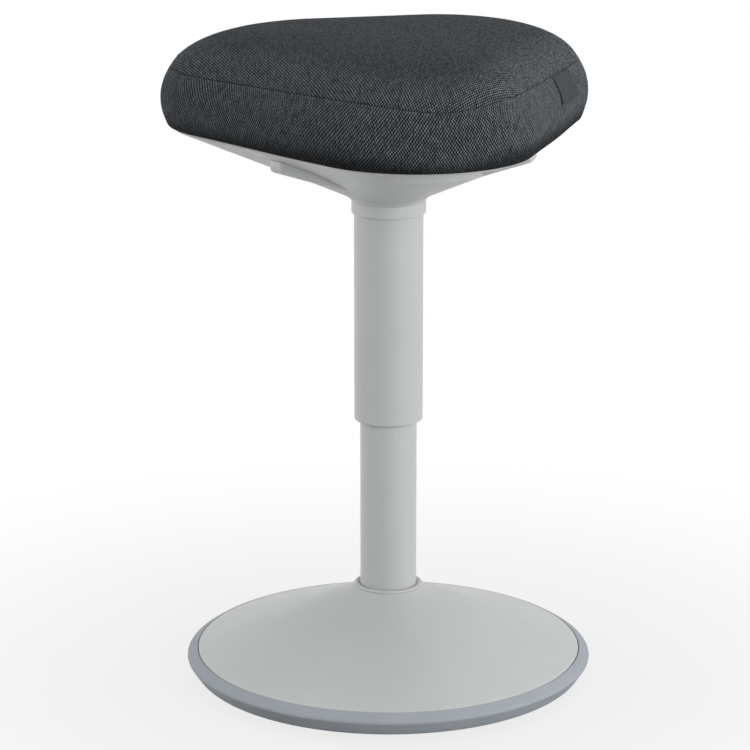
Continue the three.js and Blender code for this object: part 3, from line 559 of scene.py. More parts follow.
@dataclass(frozen=True)
class GrainedFinish:
    """Paint, moulded plastic or rubber: one colour that varies softly, over a fine relief."""

    name: str
    colour: Colour
    roughness: float
    grain: float  # mm, size of the relief's spots
    depth: float  # mm, height of the relief
    variation: float = 0.03  # of the colour
    metallic: float = 0.0
    specular: float = 0.5
    waviness: float = 0.0  # mm, depth of a slow unevenness under the grain
    wave: float = 14.0  # mm, size of that unevenness
    wide_spot: float = 45.0  # mm
    fine_spot: float = 1.0  # mm
    wide_share: float = 0.65  # of the colour's variation, the fine spots having the rest
    patch: float = 20.0  # mm, size of the patches of other gloss
    patch_change: float = 0.05  # of the roughness, up and down

    def material(self) -> bpy.types.Material:
        """Lays out the finish.

        The colour is mixed from wide and fine spots, and the roughness changes by patches.

        Returns:
            The material.
        """
        board = NodeBoard(self.name)
        point = board.place()
        wide = board.between(board.noise(point, self.wide_spot), 0.0, 1.0)
        fine = board.between(board.noise(point, self.fine_spot), 0.0, 1.0)
        fine = board.math("MULTIPLY", fine, 1 - self.wide_share)
        share = board.math("MULTIPLY_ADD", wide, self.wide_share, fine)
        low, high = shade(self.colour, 1 - self.variation), shade(self.colour, 1 + self.variation)
        board.link(board.mix(share, low, high), board.shader.inputs["Base Color"])
        smooth, rough = self.roughness - self.patch_change, self.roughness + self.patch_change
        patch = board.between(board.noise(point, self.patch), smooth, rough)
        board.link(patch, board.shader.inputs["Roughness"])
        board.set(Metallic=self.metallic, Specular_IOR_Level=self.specular)
        board.bump(board.noise(point, self.grain), self.depth)
        if self.waviness:
            board.bump(board.noise(point, self.wave, detail=0.0), self.waviness)
        return board.material


@dataclass(frozen=True)
class BrushedMetal:
    """Bare metal with fine marks round or along the axis, and duller patches."""

    name: str
    colour: Colour
    roughness: float
    stretch: Triple = (6.0, 6.0, 0.25)  # mm, sizes of the marks
    patch: float = 8.0  # mm
    dull: float = 0.8  # shade of the duller patches
    rough_change: tuple[float, float] = (-0.1, 0.12)
    relief: float = 0.02  # mm

    def material(self) -> bpy.types.Material:
        """Lays out the finish from drawn-out noise.

        Returns:
            The material.
        """
        board = NodeBoard(self.name)
        marks = board.noise(board.stretched(self.stretch), 1.0, detail=4.0)
        patches = board.between(board.noise(board.place(), self.patch, detail=3.0), 0.0, 1.0)
        colour = board.mix(patches, shade(self.colour, self.dull), self.colour)
        board.link(colour, board.shader.inputs["Base Color"])
        smooth, rough = (self.roughness + change for change in self.rough_change)
        board.link(board.between(marks, smooth, rough), board.shader.inputs["Roughness"])
        board.set(Metallic=1.0)
        board.bump(marks, self.relief)
        return board.material


@dataclass(frozen=True)
class LayeredBoard:
    """Plywood: pale and darker plies by height, with grain drawn out along the board."""

    name: str = "birch_plywood"
    pale: Colour = (0.55, 0.39, 0.22)
    dark: Colour = (0.32, 0.19, 0.09)
    ply: float = 1.3  # mm
    grain: Triple = (30.0, 1.2, 1.2)  # mm, sizes of the grain's marks
    grain_range: tuple[float, float] = (0.2, 1.0)  # share of the ply's darkness that shows
    roughness: float = 0.65
    relief: float = 0.08  # mm

    def material(self) -> bpy.types.Material:
        """Lays out the finish.

        The share of the darker ply is a sine of the height, and the grain is noise drawn out
        along X.

        Returns:
            The material.
        """
        board = NodeBoard(self.name)
        parts = board.node("ShaderNodeSeparateXYZ")
        board.link(board.place(), parts.inputs[0])
        wave = board.math("MULTIPLY", parts.outputs[2], math.pi / (self.ply * MM))
        plies = board.math("MULTIPLY_ADD", board.math("SINE", wave), 0.5, 0.5)
        grain = board.noise(board.stretched(self.grain), 1.0, detail=5.0)
        showing = board.between(grain, *self.grain_range)
        share = board.math("MULTIPLY", showing, plies, clamp=True)
        board.link(board.mix(share, self.pale, self.dark), board.shader.inputs["Base Color"])
        board.set(Roughness=self.roughness)
        board.bump(grain, self.relief)
        return board.material


@dataclass(frozen=True)
class PlainWeave:
    """Cloth whose warp and weft cross one over one, in two shades that vary along each yarn.

    The crossings come from the product of two sines of the UV map: where it is above zero the
    warp lies on top, and below zero the weft does.
    """

    name: str
    warp: Colour
    weft: Colour
    pitch: float  # mm from one warp yarn to the next
    drop: float  # mm from one weft yarn to the next
    relief: float  # mm
    layer: str = "cloth"
    melange: float = 0.5  # how far single stretches of yarn differ
    softness: float = 0.2  # how gradually one yarn gives way to the other
    stitch: float = 0.0  # mm from stitch to stitch along the seam, 0 for cloth with no seam
    thread: Colour = (0.003, 0.003, 0.004)
    seam_line: tuple[float, float] = (0.33, 0.825)  # mm from the seam, full dark and none
    seam_dark: float = 0.5  # share of the thread's colour in that line
    stitch_dark: float = 0.16  # and its change from stitch to stitch
    crown: float = 1.0  # painted shade of the cloth well beyond the seam, darker over the crown
    crown_reach: float = 60.0  # mm
    low_painted_shade: float = 1.0  # painted shade of the side's lower band, darker towards the lower edge
    low_painted_shade_reach: tuple[float, float] = (38.0, 58.0)  # mm below the seam, from plain cloth to the full painted shade
    run: float = 6.0  # pitches along a yarn that keep one shade
    groove_painted_shade: float = 0.22  # painted shade between the yarns: how far the cloth darkens where they cross
    groove_power: float = 3.0
    groove_shade: float = 0.25  # of the weft, the colour of the painted shade between the yarns
    uneven: tuple[float, float] = (9.0, 0.25)  # mm, size and depth of the cloth's unevenness

    def material(self) -> bpy.types.Material:
        """Lays out the weave.

        Returns:
            The material.
        """
        board = NodeBoard(self.name)
        across, along = board.surface(self.layer)
        sine_u = board.math("SINE", board.math("MULTIPLY", across, math.pi / (self.pitch * MM)))
        sine_v = board.math("SINE", board.math("MULTIPLY", along, math.pi / (self.drop * MM)))
        crossing = board.math("MULTIPLY", sine_u, sine_v)
        warp_on_top = board.ranged(crossing, -self.softness, self.softness)
        warp = self.yarn(board, across, along, (1.0, self.run), self.warp)
        weft = self.yarn(board, across, along, (self.run, 1.0), self.weft)
        colour = board.mix(warp_on_top, weft, warp)
        # painted shade between the yarns, darkest where neither yarn lies on top
        groove_painted_shade = board.math("SUBTRACT", 1.0, board.math("ABSOLUTE", crossing))
        groove_painted_shade = board.math("POWER", groove_painted_shade, self.groove_power)
        sunk = board.math("MULTIPLY", groove_painted_shade, self.groove_painted_shade, clamp=True)
        colour = board.mix(sunk, colour, shade(self.weft, self.groove_shade))
        if self.stitch:
            colour = self.sewn(board, colour)
        board.link(colour, board.shader.inputs["Base Color"])
        board.set(Roughness=1.0, Diffuse_Roughness=1.0, Specular_IOR_Level=0.08)
        board.bump(board.math("ABSOLUTE", crossing), self.relief)
        size, depth = self.uneven
        board.bump(board.noise(board.place(), size, detail=3.0), depth)
        return board.material

    def sewn(self, board: NodeBoard, cloth: bpy.types.NodeSocket) -> bpy.types.NodeSocket:
        """The cloth with its seam, read from a UV map of the distance from it and the way along.

        Beyond the seam the cloth darkens slowly to a painted shade over the crown, and well below
        it to a painted shade towards the lower edge. On the seam there is a dark line, a little
        lighter between the stitches, by a sine of the way along.

        Args:
            board: the material's nodes.
            cloth: the cloth's colour.

        Returns:
            The colour's socket.
        """
        away, along = board.surface("seam")
        # painted shade over the crown, beyond the seam
        beyond = board.ranged(away, 0.0, self.crown_reach * MM, high=1.0 - self.crown)
        cloth = board.mix(beyond, cloth, BLACK)
        # painted shade on the side's lower band, darker towards the lower edge
        start, end = (-reach * MM for reach in self.low_painted_shade_reach)
        turned = board.ranged(away, start, end, high=1.0 - self.low_painted_shade)
        cloth = board.mix(turned, cloth, BLACK)
        full, none = (reach * MM for reach in self.seam_line)
        near = board.ranged(board.math("ABSOLUTE", away), none, full)
        wave = board.math("SINE", board.math("MULTIPLY", along, 2 * math.pi / (self.stitch * MM)))
        strength = board.math("MULTIPLY_ADD", wave, self.stitch_dark, self.seam_dark)
        line = board.math("MULTIPLY", near, strength, clamp=True)
        return board.mix(line, cloth, self.thread)

    def yarn(
        self,
        board: NodeBoard,
        across: bpy.types.NodeSocket,
        along: bpy.types.NodeSocket,
        stretch: tuple[float, float],
        colour: Colour,
    ) -> bpy.types.NodeSocket:
        """One set of yarns, lighter and darker in stretches.

        Args:
            board: the material's nodes.
            across: first UV coordinate.
            along: second UV coordinate.
            stretch: how far a stretch reaches each way, in pitches.
            colour: the yarn's middle colour.

        Returns:
            The colour's socket.
        """
        joined = board.node("ShaderNodeCombineXYZ")
        board.link(board.math("DIVIDE", across, stretch[0]), joined.inputs[0])
        board.link(board.math("DIVIDE", along, stretch[1]), joined.inputs[1])
        joined.inputs[2].default_value = stretch[0]
        spots = board.between(board.noise(joined.outputs[0], self.pitch, detail=1.0), 0.0, 1.0)
        dull, bright = shade(colour, 1 - self.melange), shade(colour, 1 + self.melange)
        return board.mix(spots, dull, bright)


@dataclass(frozen=True)
class Finishes:
    """Every finish of the stool."""

    paint: GrainedFinish = GrainedFinish(
        "grey_powder_paint", (0.540, 0.552, 0.550),
        roughness=0.42, grain=1.1, depth=0.018, variation=0.02, waviness=0.01,
    )
    plastic: GrainedFinish = GrainedFinish(
        "grey_moulded_plastic", (0.560, 0.571, 0.573),
        roughness=0.5, grain=0.5, depth=0.02, variation=0.025,
    )
    rim_rubber: GrainedFinish = GrainedFinish(
        "bluish_grey_rubber", (0.365, 0.395, 0.425),
        roughness=0.75, grain=0.7, depth=0.03, variation=0.04, specular=0.15,
    )
    sole_rubber: GrainedFinish = GrainedFinish(
        "dark_sole_rubber", (0.075, 0.08, 0.085),
        roughness=0.75, grain=1.2, depth=0.06, variation=0.12, specular=0.3,
    )
    nylon: GrainedFinish = GrainedFinish(
        "white_nylon", (0.70, 0.69, 0.65), roughness=0.45, grain=0.8, depth=0.02,
    )
    black_steel: GrainedFinish = GrainedFinish(
        "black_enamel_steel", (0.02, 0.021, 0.023),
        roughness=0.35, grain=1.5, depth=0.02, variation=0.15, metallic=0.3,
    )
    cast_iron: GrainedFinish = GrainedFinish(
        "cast_ballast_iron", (0.10, 0.098, 0.095),
        roughness=0.65, grain=2.2, depth=0.15, variation=0.25, metallic=0.8,
    )
    steel: BrushedMetal = BrushedMetal("plated_steel", (0.58, 0.58, 0.59), roughness=0.3)
    alloy: BrushedMetal = BrushedMetal(
        "cast_alloy", (0.46, 0.47, 0.48), roughness=0.45, stretch=(1.5, 1.5, 1.5),
    )
    plywood: LayeredBoard = LayeredBoard()
    # the seat cloth's crown and the lower band of its side carry painted shade
    seat_cloth: PlainWeave = PlainWeave(
        "charcoal_seat_weave", warp=(0.156, 0.172, 0.187), weft=(0.009, 0.010, 0.012),
        pitch=1.3, drop=2.05, relief=0.22, stitch=3.2, crown=0.55, low_painted_shade=0.22,
    )
    tag_cloth: PlainWeave = PlainWeave(
        "dark_tag_weave", warp=(0.074, 0.082, 0.090), weft=(0.054, 0.061, 0.068),
        pitch=0.35, drop=0.35, relief=0.06, melange=0.25,
    )


# The seat's outline


@dataclass(frozen=True)
class SeatOutline:
    """A triangle with round corners, by azimuth in degrees, one corner to the front."""

    corner_centre: float = 103.0
    corner_radius: float = 110.0

    def radius(self, azimuth: Array, inset: Array | float = 0.0) -> Array:
        """Distance from the axis to the outline.

        Within a corner's reach it is the arc, c cos A + sqrt(r r - (c sin A)^2), with A the angle
        from the corner; beyond it the straight side, (c / 2 + r) / cos(60 - A).

        Args:
            azimuth: degrees.
            inset: how far the outline is drawn in.

        Returns:
            Distances in millimetres.
        """
        centre, corner = self.corner_centre, self.corner_radius - np.asarray(inset, float)
        angle = np.radians(np.abs((azimuth - FRONT + 60.0) % 120.0 - 60.0))
        third = math.pi / 3
        reach = np.arctan2(corner * math.sin(third), centre + corner * math.cos(third))
        under = np.maximum(corner**2 - (centre * np.sin(angle)) ** 2, 0.0)
        arc = centre * np.cos(angle) + np.sqrt(under)
        side = (centre / 2 + corner) / np.cos(third - angle)
        return np.where(angle <= reach, arc, side)


def seat_points(azimuth: Array, radius: Array, height: Array) -> Array:
    """Points at azimuths in degrees, distances and heights, which share one shape."""
    angle = np.radians(azimuth) + 0 * radius
    return np.stack([radius * np.cos(angle), radius * np.sin(angle), height + 0 * radius], axis=-1)


# Base


@dataclass
class RockingBase:
    """Rubber sole and rim, the painted cone, its trim ring and the lower tube."""

    finishes: Finishes
    segments: int = 240
    gap: float = 0.3
    edge: float = 0.3  # radius of a cut edge
    soft_edge: float = 0.5  # radius of a moulded or pressed edge
    pole: float = 0.01  # least radius of a ring at the axis
    radius: float = 190.0
    widest: float = 20.9
    widest_fold: float = 2.2
    shoulder: Triple = (1.6, 2.6, 2.5)  # in and up from the widest line, and its radius
    rest: float = 76.5
    roll: float = 780.0
    tread: float = 180.6
    tread_fold: float = 7.0
    rim_inner: float = 158.0
    rim_edge: float = 0.6
    rim_lip: Triple = (0.5, 0.3, 1.4)  # out and up from the cone's edge, and its radius
    rim_arc_steps: int = 8
    sole_top: float = 11.7
    sole_edge: float = 0.8
    sole_rings: int = 24
    cover_edge: float = 179.3
    cover_edge_height: float = 28.5
    cover_edge_round: float = 0.9
    cover_top: float = 31.6
    cover_top_height: float = 88.0
    cover_sag: float = 4.0
    cover_flare: float = 2.3
    cover_flare_power: float = 24.0
    cover_wall: float = 2.6
    cover_rings: int = 64
    cover_crowding: float = 1.8  # how far the rings crowd at the flare
    cover_arc_steps: int = 4
    spigot_gap: float = 1.6
    spigot_depth: float = 20.0
    spigot_edge: float = 0.4
    ring_outer: float = 31.4
    ring_height: float = 90.3
    ring_bead: float = 3.2
    ring_floor: float = 89.5
    ring_skin: float = 1.6
    ring_inset: float = 0.35  # of the skin from the tube
    ring_skirt: float = 1.25  # of the foot from the tube
    ring_rolls: tuple[float, float] = (0.9, 1.3)  # inner and outer radius of the bead
    ring_crease: float = 0.4
    ring_edge: float = 0.2
    tube: float = 26.25
    tube_wall: float = 2.0
    tube_foot: float = 24.3
    tube_end: float = 290.5
    tube_end_round: float = 0.8
    tube_segments: int = 160

    def rolling(self, radius: Array) -> Array:
        """Height of the rolling surface: flat, then an arc of the rolling radius."""
        beyond = np.maximum(np.asarray(radius, float) - self.rest, 0.0)
        return self.roll - np.sqrt(self.roll**2 - beyond**2)

    def cover(self, radius: Array) -> Array:
        """Height of the cone at share s of the way out.

        It is a straight fall, less a sag of 4 s (1 - s), plus a flare of (1 - s) to a high power.

        Args:
            radius: distances from the axis.

        Returns:
            Heights in millimetres.
        """
        share = (radius - self.cover_top) / (self.cover_edge - self.cover_top)
        start = self.cover_top_height - self.cover_flare
        straight = start + share * (self.cover_edge_height - start)
        flare = self.cover_flare * (1 - share) ** self.cover_flare_power
        return straight - self.cover_sag * 4 * share * (1 - share) + flare

    def build(self) -> None:
        """Makes the base's pieces."""
        self.build_sole()
        self.build_rim()
        self.build_cover()
        self.build_ring()
        self.build_tube()

    def build_sole(self) -> None:
        """The sole: flat in the middle, curved up to the rim, with a chamfered edge."""
        edge = self.rim_inner - self.gap
        curve = np.linspace(self.rest, edge, self.sole_rings)
        under = [(0.0, 0.0, 0.0), *((r, float(self.rolling(r)), 0.0) for r in curve)]
        corners = [*under, (edge, self.sole_top, self.sole_edge), (0.0, self.sole_top, 0.0)]
        profile = rounded_outline(corners)
        profile = np.roll(profile, -int(np.argmin(profile[:, 0] + profile[:, 1])), axis=0)
        rings = revolved(np.maximum(profile, [self.pole, 0.0]), self.segments)
        piece = closed_piece("sole_rubber", rings, Ends.POLES)
        finish = self.finishes.sole_rubber.material()
        finish_piece(piece, Body.BASE, finish, "dark_rubber", "rocker_sole")

    def build_rim(self) -> None:
        """The rim: the rolling surface runs on into a soft fold at the widest line."""
        inner, tread = self.rim_inner, self.tread
        ledge = self.cover_edge_height - self.cover_wall - self.gap
        meets = self.cover_edge + self.gap
        inward, upward, shoulder_round = self.shoulder
        outward, raised, lip_round = self.rim_lip
        corners = [
            (inner, float(self.rolling(inner)), self.rim_edge),
            (tread, float(self.rolling(tread)), self.tread_fold),
            (self.radius, self.widest, self.widest_fold),
            (self.radius - inward, self.widest + upward, shoulder_round),
            (meets + outward, self.cover_edge_height + raised, lip_round),
            (meets, ledge, self.edge),
            (inner, ledge, self.rim_edge),
        ]
        rings = revolved(rounded_outline(corners, self.rim_arc_steps), self.segments)
        piece = closed_piece("rim_rubber", rings, Ends.LOOP)
        finish = self.finishes.rim_rubber.material()
        finish_piece(piece, Body.BASE, finish, "grey_rubber", "rubber_rim")

    def build_cover(self) -> None:
        """The painted cone, with a rolled edge at the rim and a spigot round the tube."""
        spread = np.linspace(0.0, 1.0, self.cover_rings) ** self.cover_crowding
        across = self.cover_top + (self.cover_edge - self.cover_top) * spread
        heights = self.cover(across)
        hole = self.tube + self.spigot_gap
        wall = self.cover_wall
        outer = [(r, h, 0.0) for r, h in zip(across[:-1], heights[:-1])]
        inner = [(r, h - wall, 0.0) for r, h in zip(across[:-1], heights[:-1])][::-1]
        edge = [
            (self.cover_edge, float(heights[-1]), self.cover_edge_round),
            (self.cover_edge, float(heights[-1]) - wall, self.soft_edge),
        ]
        spigot_end = self.cover_top_height - self.spigot_depth
        spigot = [
            (hole + wall, self.cover_top_height - wall, 0.0),
            (hole + wall, spigot_end, self.spigot_edge),
            (hole, spigot_end, self.spigot_edge),
            (hole, self.cover_top_height, self.spigot_edge),
        ]
        profile = rounded_outline([*outer, *edge, *inner, *spigot], self.cover_arc_steps)
        piece = closed_piece("cone_cover", revolved(profile, self.segments), Ends.LOOP)
        finish = self.finishes.paint.material()
        finish_piece(piece, Body.BASE, finish, "grey_paint", "base_cover")

    def build_ring(self) -> None:
        """The trim ring: a rolled lip round a shallow recess at the tube."""
        foot = self.cover_top_height + self.gap
        inner, skirt = self.tube + self.ring_inset, self.tube + self.ring_skirt
        lip = self.ring_outer - self.ring_bead
        skin = self.ring_floor - self.ring_skin
        inner_roll, outer_roll = self.ring_rolls
        corners = [
            (inner, skin, self.ring_edge),
            (inner, self.ring_floor, self.ring_crease),
            (lip, self.ring_floor, self.ring_crease),
            (lip, self.ring_height, inner_roll),
            (self.ring_outer, self.ring_height, outer_roll),
            (self.ring_outer, foot, self.edge),
            (skirt, foot, self.ring_edge),
            (skirt, skin, self.ring_edge),
        ]
        rings = revolved(rounded_outline(corners), self.segments)
        piece = closed_piece("trim_ring", rings, Ends.LOOP)
        finish = self.finishes.plastic.material()
        finish_piece(piece, Body.BASE, finish, "grey_plastic", "collar_ring")

    def build_tube(self) -> None:
        """The lower tube, a plain wall with broken edges."""
        bore = self.tube - self.tube_wall
        corners = [
            (bore, self.tube_foot, self.edge),
            (self.tube, self.tube_foot, self.soft_edge),
            (self.tube, self.tube_end, self.tube_end_round),
            (bore, self.tube_end, self.edge),
        ]
        rings = revolved(rounded_outline(corners), self.tube_segments)
        piece = closed_piece("tube_lower", rings, Ends.LOOP)
        finish = self.finishes.paint.material()
        finish_piece(piece, Body.BASE, finish, "grey_paint", "column_tube")


# Sleeve


@dataclass
class LiftSleeve:
    """The sleeve that hides the lift, and the collar over its top."""

    finishes: Finishes
    radius: float = 31.75
    wall: float = 2.2
    foot: float = 250.5
    head: float = 459.3
    roof: float = 3.0
    cylinder: float = 14.3
    foot_round: float = 1.6
    edge: float = 0.3
    soft_edge: float = 0.5
    collar: float = 34.1
    collar_height: float = 13.5
    collar_fit: float = 0.05  # between the collar and the sleeve
    collar_foot_round: float = 1.3
    collar_head_round: float = 0.4
    collar_edge: float = 0.1
    segments: int = 180

    def build(self) -> None:
        """Makes the sleeve and its collar."""
        bore = self.radius - self.wall
        corners = [
            (bore, self.foot, self.soft_edge),
            (self.radius, self.foot, self.foot_round),
            (self.radius, self.head, self.soft_edge),
            (self.cylinder, self.head, self.edge),
            (self.cylinder, self.head - self.roof, self.edge),
            (bore, self.head - self.roof, self.soft_edge),
        ]
        rings = revolved(rounded_outline(corners), self.segments)
        sleeve = closed_piece("sleeve_outer", rings, Ends.LOOP)
        finish_piece(sleeve, Body.SEAT, self.finishes.paint.material(), "grey_paint", "sleeve")
        low, inner = self.head - self.collar_height, self.radius + self.collar_fit
        corners = [
            (inner, low, self.collar_edge),
            (self.collar, low, self.collar_foot_round),
            (self.collar, self.head, self.collar_head_round),
            (inner, self.head, self.collar_edge),
        ]
        rings = revolved(rounded_outline(corners), self.segments)
        collar = closed_piece("collar_top", rings, Ends.LOOP)
        finish = self.finishes.plastic.material()
        finish_piece(collar, Body.SEAT, finish, "grey_plastic", "sleeve_collar")


# Seat shell


@dataclass
class SeatTray:
    """The moulded shell: ridges to the corners, scoops between, lever slots and a finger grip."""

    finishes: Finishes
    outline: SeatOutline = field(default_factory=SeatOutline)
    floor: float = 459.6
    hub: float = 34.0
    bore: float = 14.35
    rise: float = 60.9
    rim_top: float = 524.0
    rim_inset: float = 12.2
    rim_round: float = 1.1
    rim_turns: tuple[float, ...] = (10.0, 35.0, 60.0, 85.0)  # degrees round that edge
    rim_land: float = 0.3  # straight stretch under it
    wall: float = 3.5
    hub_gap: float = 0.15  # from the collar to the foot of the outer face
    ridge_power: float = 1.05
    scoop_power: float = 0.87
    fillet: float = 2.4
    fillet_reach: float = 1.6
    slope_rows: int = 44
    slope_crowding: float = 1.25  # how far the rows crowd at the hub
    foot_rows: tuple[float, ...] = (0.002, 0.005, 0.014, 0.02, 0.028)
    rim_rows: tuple[float, ...] = (0.985, 0.995)
    grip_rows: tuple[float, ...] = (-0.8, -0.1, 0.05, 0.25, 0.5, 0.75, 0.95, 1.1, 1.8)
    grip_start: float = 0.755
    grip_wall: float = 0.007
    grip_end: float = 0.97
    grip_depth: float = 10.0
    grip_half_angle: float = 20.0
    boss_depth: float = 2.7
    boss_half_angle: float = 9.0
    boss_rise: tuple[float, float] = (0.5, 0.85)
    boss_fall: tuple[float, float] = (0.92, 1.0)
    slot_start: float = 59.0
    slot_end: float = 138.4
    slot_half_width: float = 10.6
    slot_corners: tuple[float, float] = (3.0, 4.0)  # radii at the start and at the end
    slot_reach: float = 3.0  # of the cutting block beyond the tray
    lever_azimuths: tuple[float, float] = (210.0, 330.0)
    columns: int = 360

    def scoop(self, azimuth: Array) -> Array:
        """None of the scoop at a corner and all of it mid-side: half of 1 - cos of three turns."""
        return (1 - np.cos(np.radians(3 * (azimuth - FRONT)))) / 2

    def grip(self, azimuth: Array, share: Array) -> Array:
        """Lift of the finger grip: a steep wall, then a fall to nothing near the rim.

        Across, it is the square root of a cosine that reaches zero at the grip's two ends.

        Args:
            azimuth: degrees.
            share: of the way from the hub to the rim.

        Returns:
            Lifts in millimetres.
        """
        aside = np.abs(angle_from(azimuth, FRONT))
        within = np.clip(aside * 90.0 / self.grip_half_angle, 0.0, 90.0)
        across = np.sqrt(np.maximum(np.cos(np.radians(within)), 0.0))
        up = smooth_step(self.grip_start, self.grip_start + self.grip_wall, share)
        fall = (self.grip_end - share) / (self.grip_end - self.grip_start - self.grip_wall)
        return self.grip_depth * across * up * np.clip(fall, 0.0, 1.0)

    def boss(self, azimuth: Array, share: Array) -> Array:
        """Fall of the face round each lever's tip: a bell curve across, eased in and out along.

        Args:
            azimuth: degrees.
            share: of the way from the hub to the rim.

        Returns:
            Falls in millimetres.
        """
        aside = [np.abs(angle_from(azimuth, lever)) for lever in self.lever_azimuths]
        across = bell(np.minimum(*aside), self.boss_half_angle)
        along = smooth_step(*self.boss_rise, share) * (1 - smooth_step(*self.boss_fall, share))
        return self.boss_depth * across * along

    def height(self, azimuth: Array, share: Array) -> Array:
        """Height of the outer face: the rise times the share to a power that the scoop sets.

        Args:
            azimuth: degrees.
            share: of the way from the hub to the rim.

        Returns:
            Heights in millimetres.
        """
        power = self.ridge_power + (self.scoop_power - self.ridge_power) * self.scoop(azimuth)
        rise = self.rise * share**power
        return self.floor + rise + self.grip(azimuth, share) - self.boss(azimuth, share)

    def build(self) -> None:
        """Makes the tray: outer face, rounded rim and inner face in one closed grid.

        Rows lie by share of the way from the hub to the rim, closer at the fillet, at the grip's
        wall and at the rim. At the hub the outer face runs down to the collar as a fillet, an
        exponential of the distance from the collar.
        """
        azimuth = azimuth_row(self.columns)
        slope = np.linspace(0.0, 1.0, self.slope_rows) ** self.slope_crowding
        grip_rows = self.grip_start + self.grip_wall * np.array(self.grip_rows)
        rows = np.concatenate([slope, self.foot_rows, grip_rows, self.rim_rows])
        share = np.sort(rows)[:, None]
        rim = self.outline.radius(azimuth, self.rim_inset)
        inside = self.outline.radius(azimuth, self.rim_inset + self.wall)
        start = self.hub + self.hub_gap
        reach = start + (rim - start) * share
        sunk = self.fillet * np.exp(-(reach - start) / self.fillet_reach)
        outer = seat_points(azimuth, reach, self.height(azimuth, share) - sunk)
        turn = np.radians(self.rim_turns)[:, None]
        edge = self.rim_round
        lip_out = seat_points(
            azimuth, rim - edge * (1 - np.cos(turn)), self.rim_top - edge * (1 - np.sin(turn))
        )
        land = self.rim_top - edge - self.rim_land
        low_edge = seat_points(azimuth, rim, land + 0 * rim)
        lip_in = seat_points(
            azimuth, inside + edge * (1 - np.sin(turn)), self.rim_top - edge * (1 - np.cos(turn))
        )
        back = share[::-1]
        radius = self.hub + (inside - self.hub) * back
        reach = np.clip((radius - self.hub) / (rim - self.hub), 0.0, 1.0)
        lifted = np.minimum(self.height(azimuth, reach) + self.wall, self.rim_top - self.wall / 2)
        inner = seat_points(azimuth, radius, lifted)
        bore = self.bore + 0 * rim
        hub = [
            seat_points(azimuth, bore, 0 * rim + self.floor + self.wall),
            seat_points(azimuth, bore, 0 * rim + self.floor),
            seat_points(azimuth, start + 0 * rim, 0 * rim + self.floor),
        ]
        rings = np.concatenate([outer, low_edge, lip_out, lip_in, inner, *hub])
        tray = closed_piece("shell_tray", rings, Ends.LOOP)
        for index, lever in enumerate(self.lever_azimuths):
            self.cut_slot(tray, lever, index)
        finish = self.finishes.plastic.material()
        finish_piece(tray, Body.SEAT, finish, "grey_plastic", "seat_shell")

    def cut_slot(self, tray: bpy.types.Object, azimuth: float, index: int) -> None:
        """Cuts one lever slot through the tray with a round-cornered block.

        Args:
            tray: the shell.
            azimuth: the lever's direction in degrees.
            index: the slot's number.
        """
        half = self.slot_half_width
        start_round, end_round = self.slot_corners
        corners = [
            (self.slot_start, -half, start_round),
            (self.slot_end, -half, end_round),
            (self.slot_end, half, end_round),
            (self.slot_start, half, start_round),
        ]
        outline = rounded_outline(corners)
        angle = math.radians(azimuth)
        x = outline[:, 0] * math.cos(angle) - outline[:, 1] * math.sin(angle)
        y = outline[:, 0] * math.sin(angle) + outline[:, 1] * math.cos(angle)
        levels = np.array([self.floor - self.slot_reach, self.rim_top + self.slot_reach])
        rings = np.stack([np.stack([x, y, 0 * x + z], axis=-1) for z in levels])
        block = closed_piece(f"slot_block_{index}", rings, Ends.POLES)
        cut = tray.modifiers.new("slot", "BOOLEAN")
        cut.operation = "DIFFERENCE"
        cut.solver = "EXACT"
        cut.object = block
        apply_modifiers(tray)
        bpy.data.objects.remove(block)


# Release levers


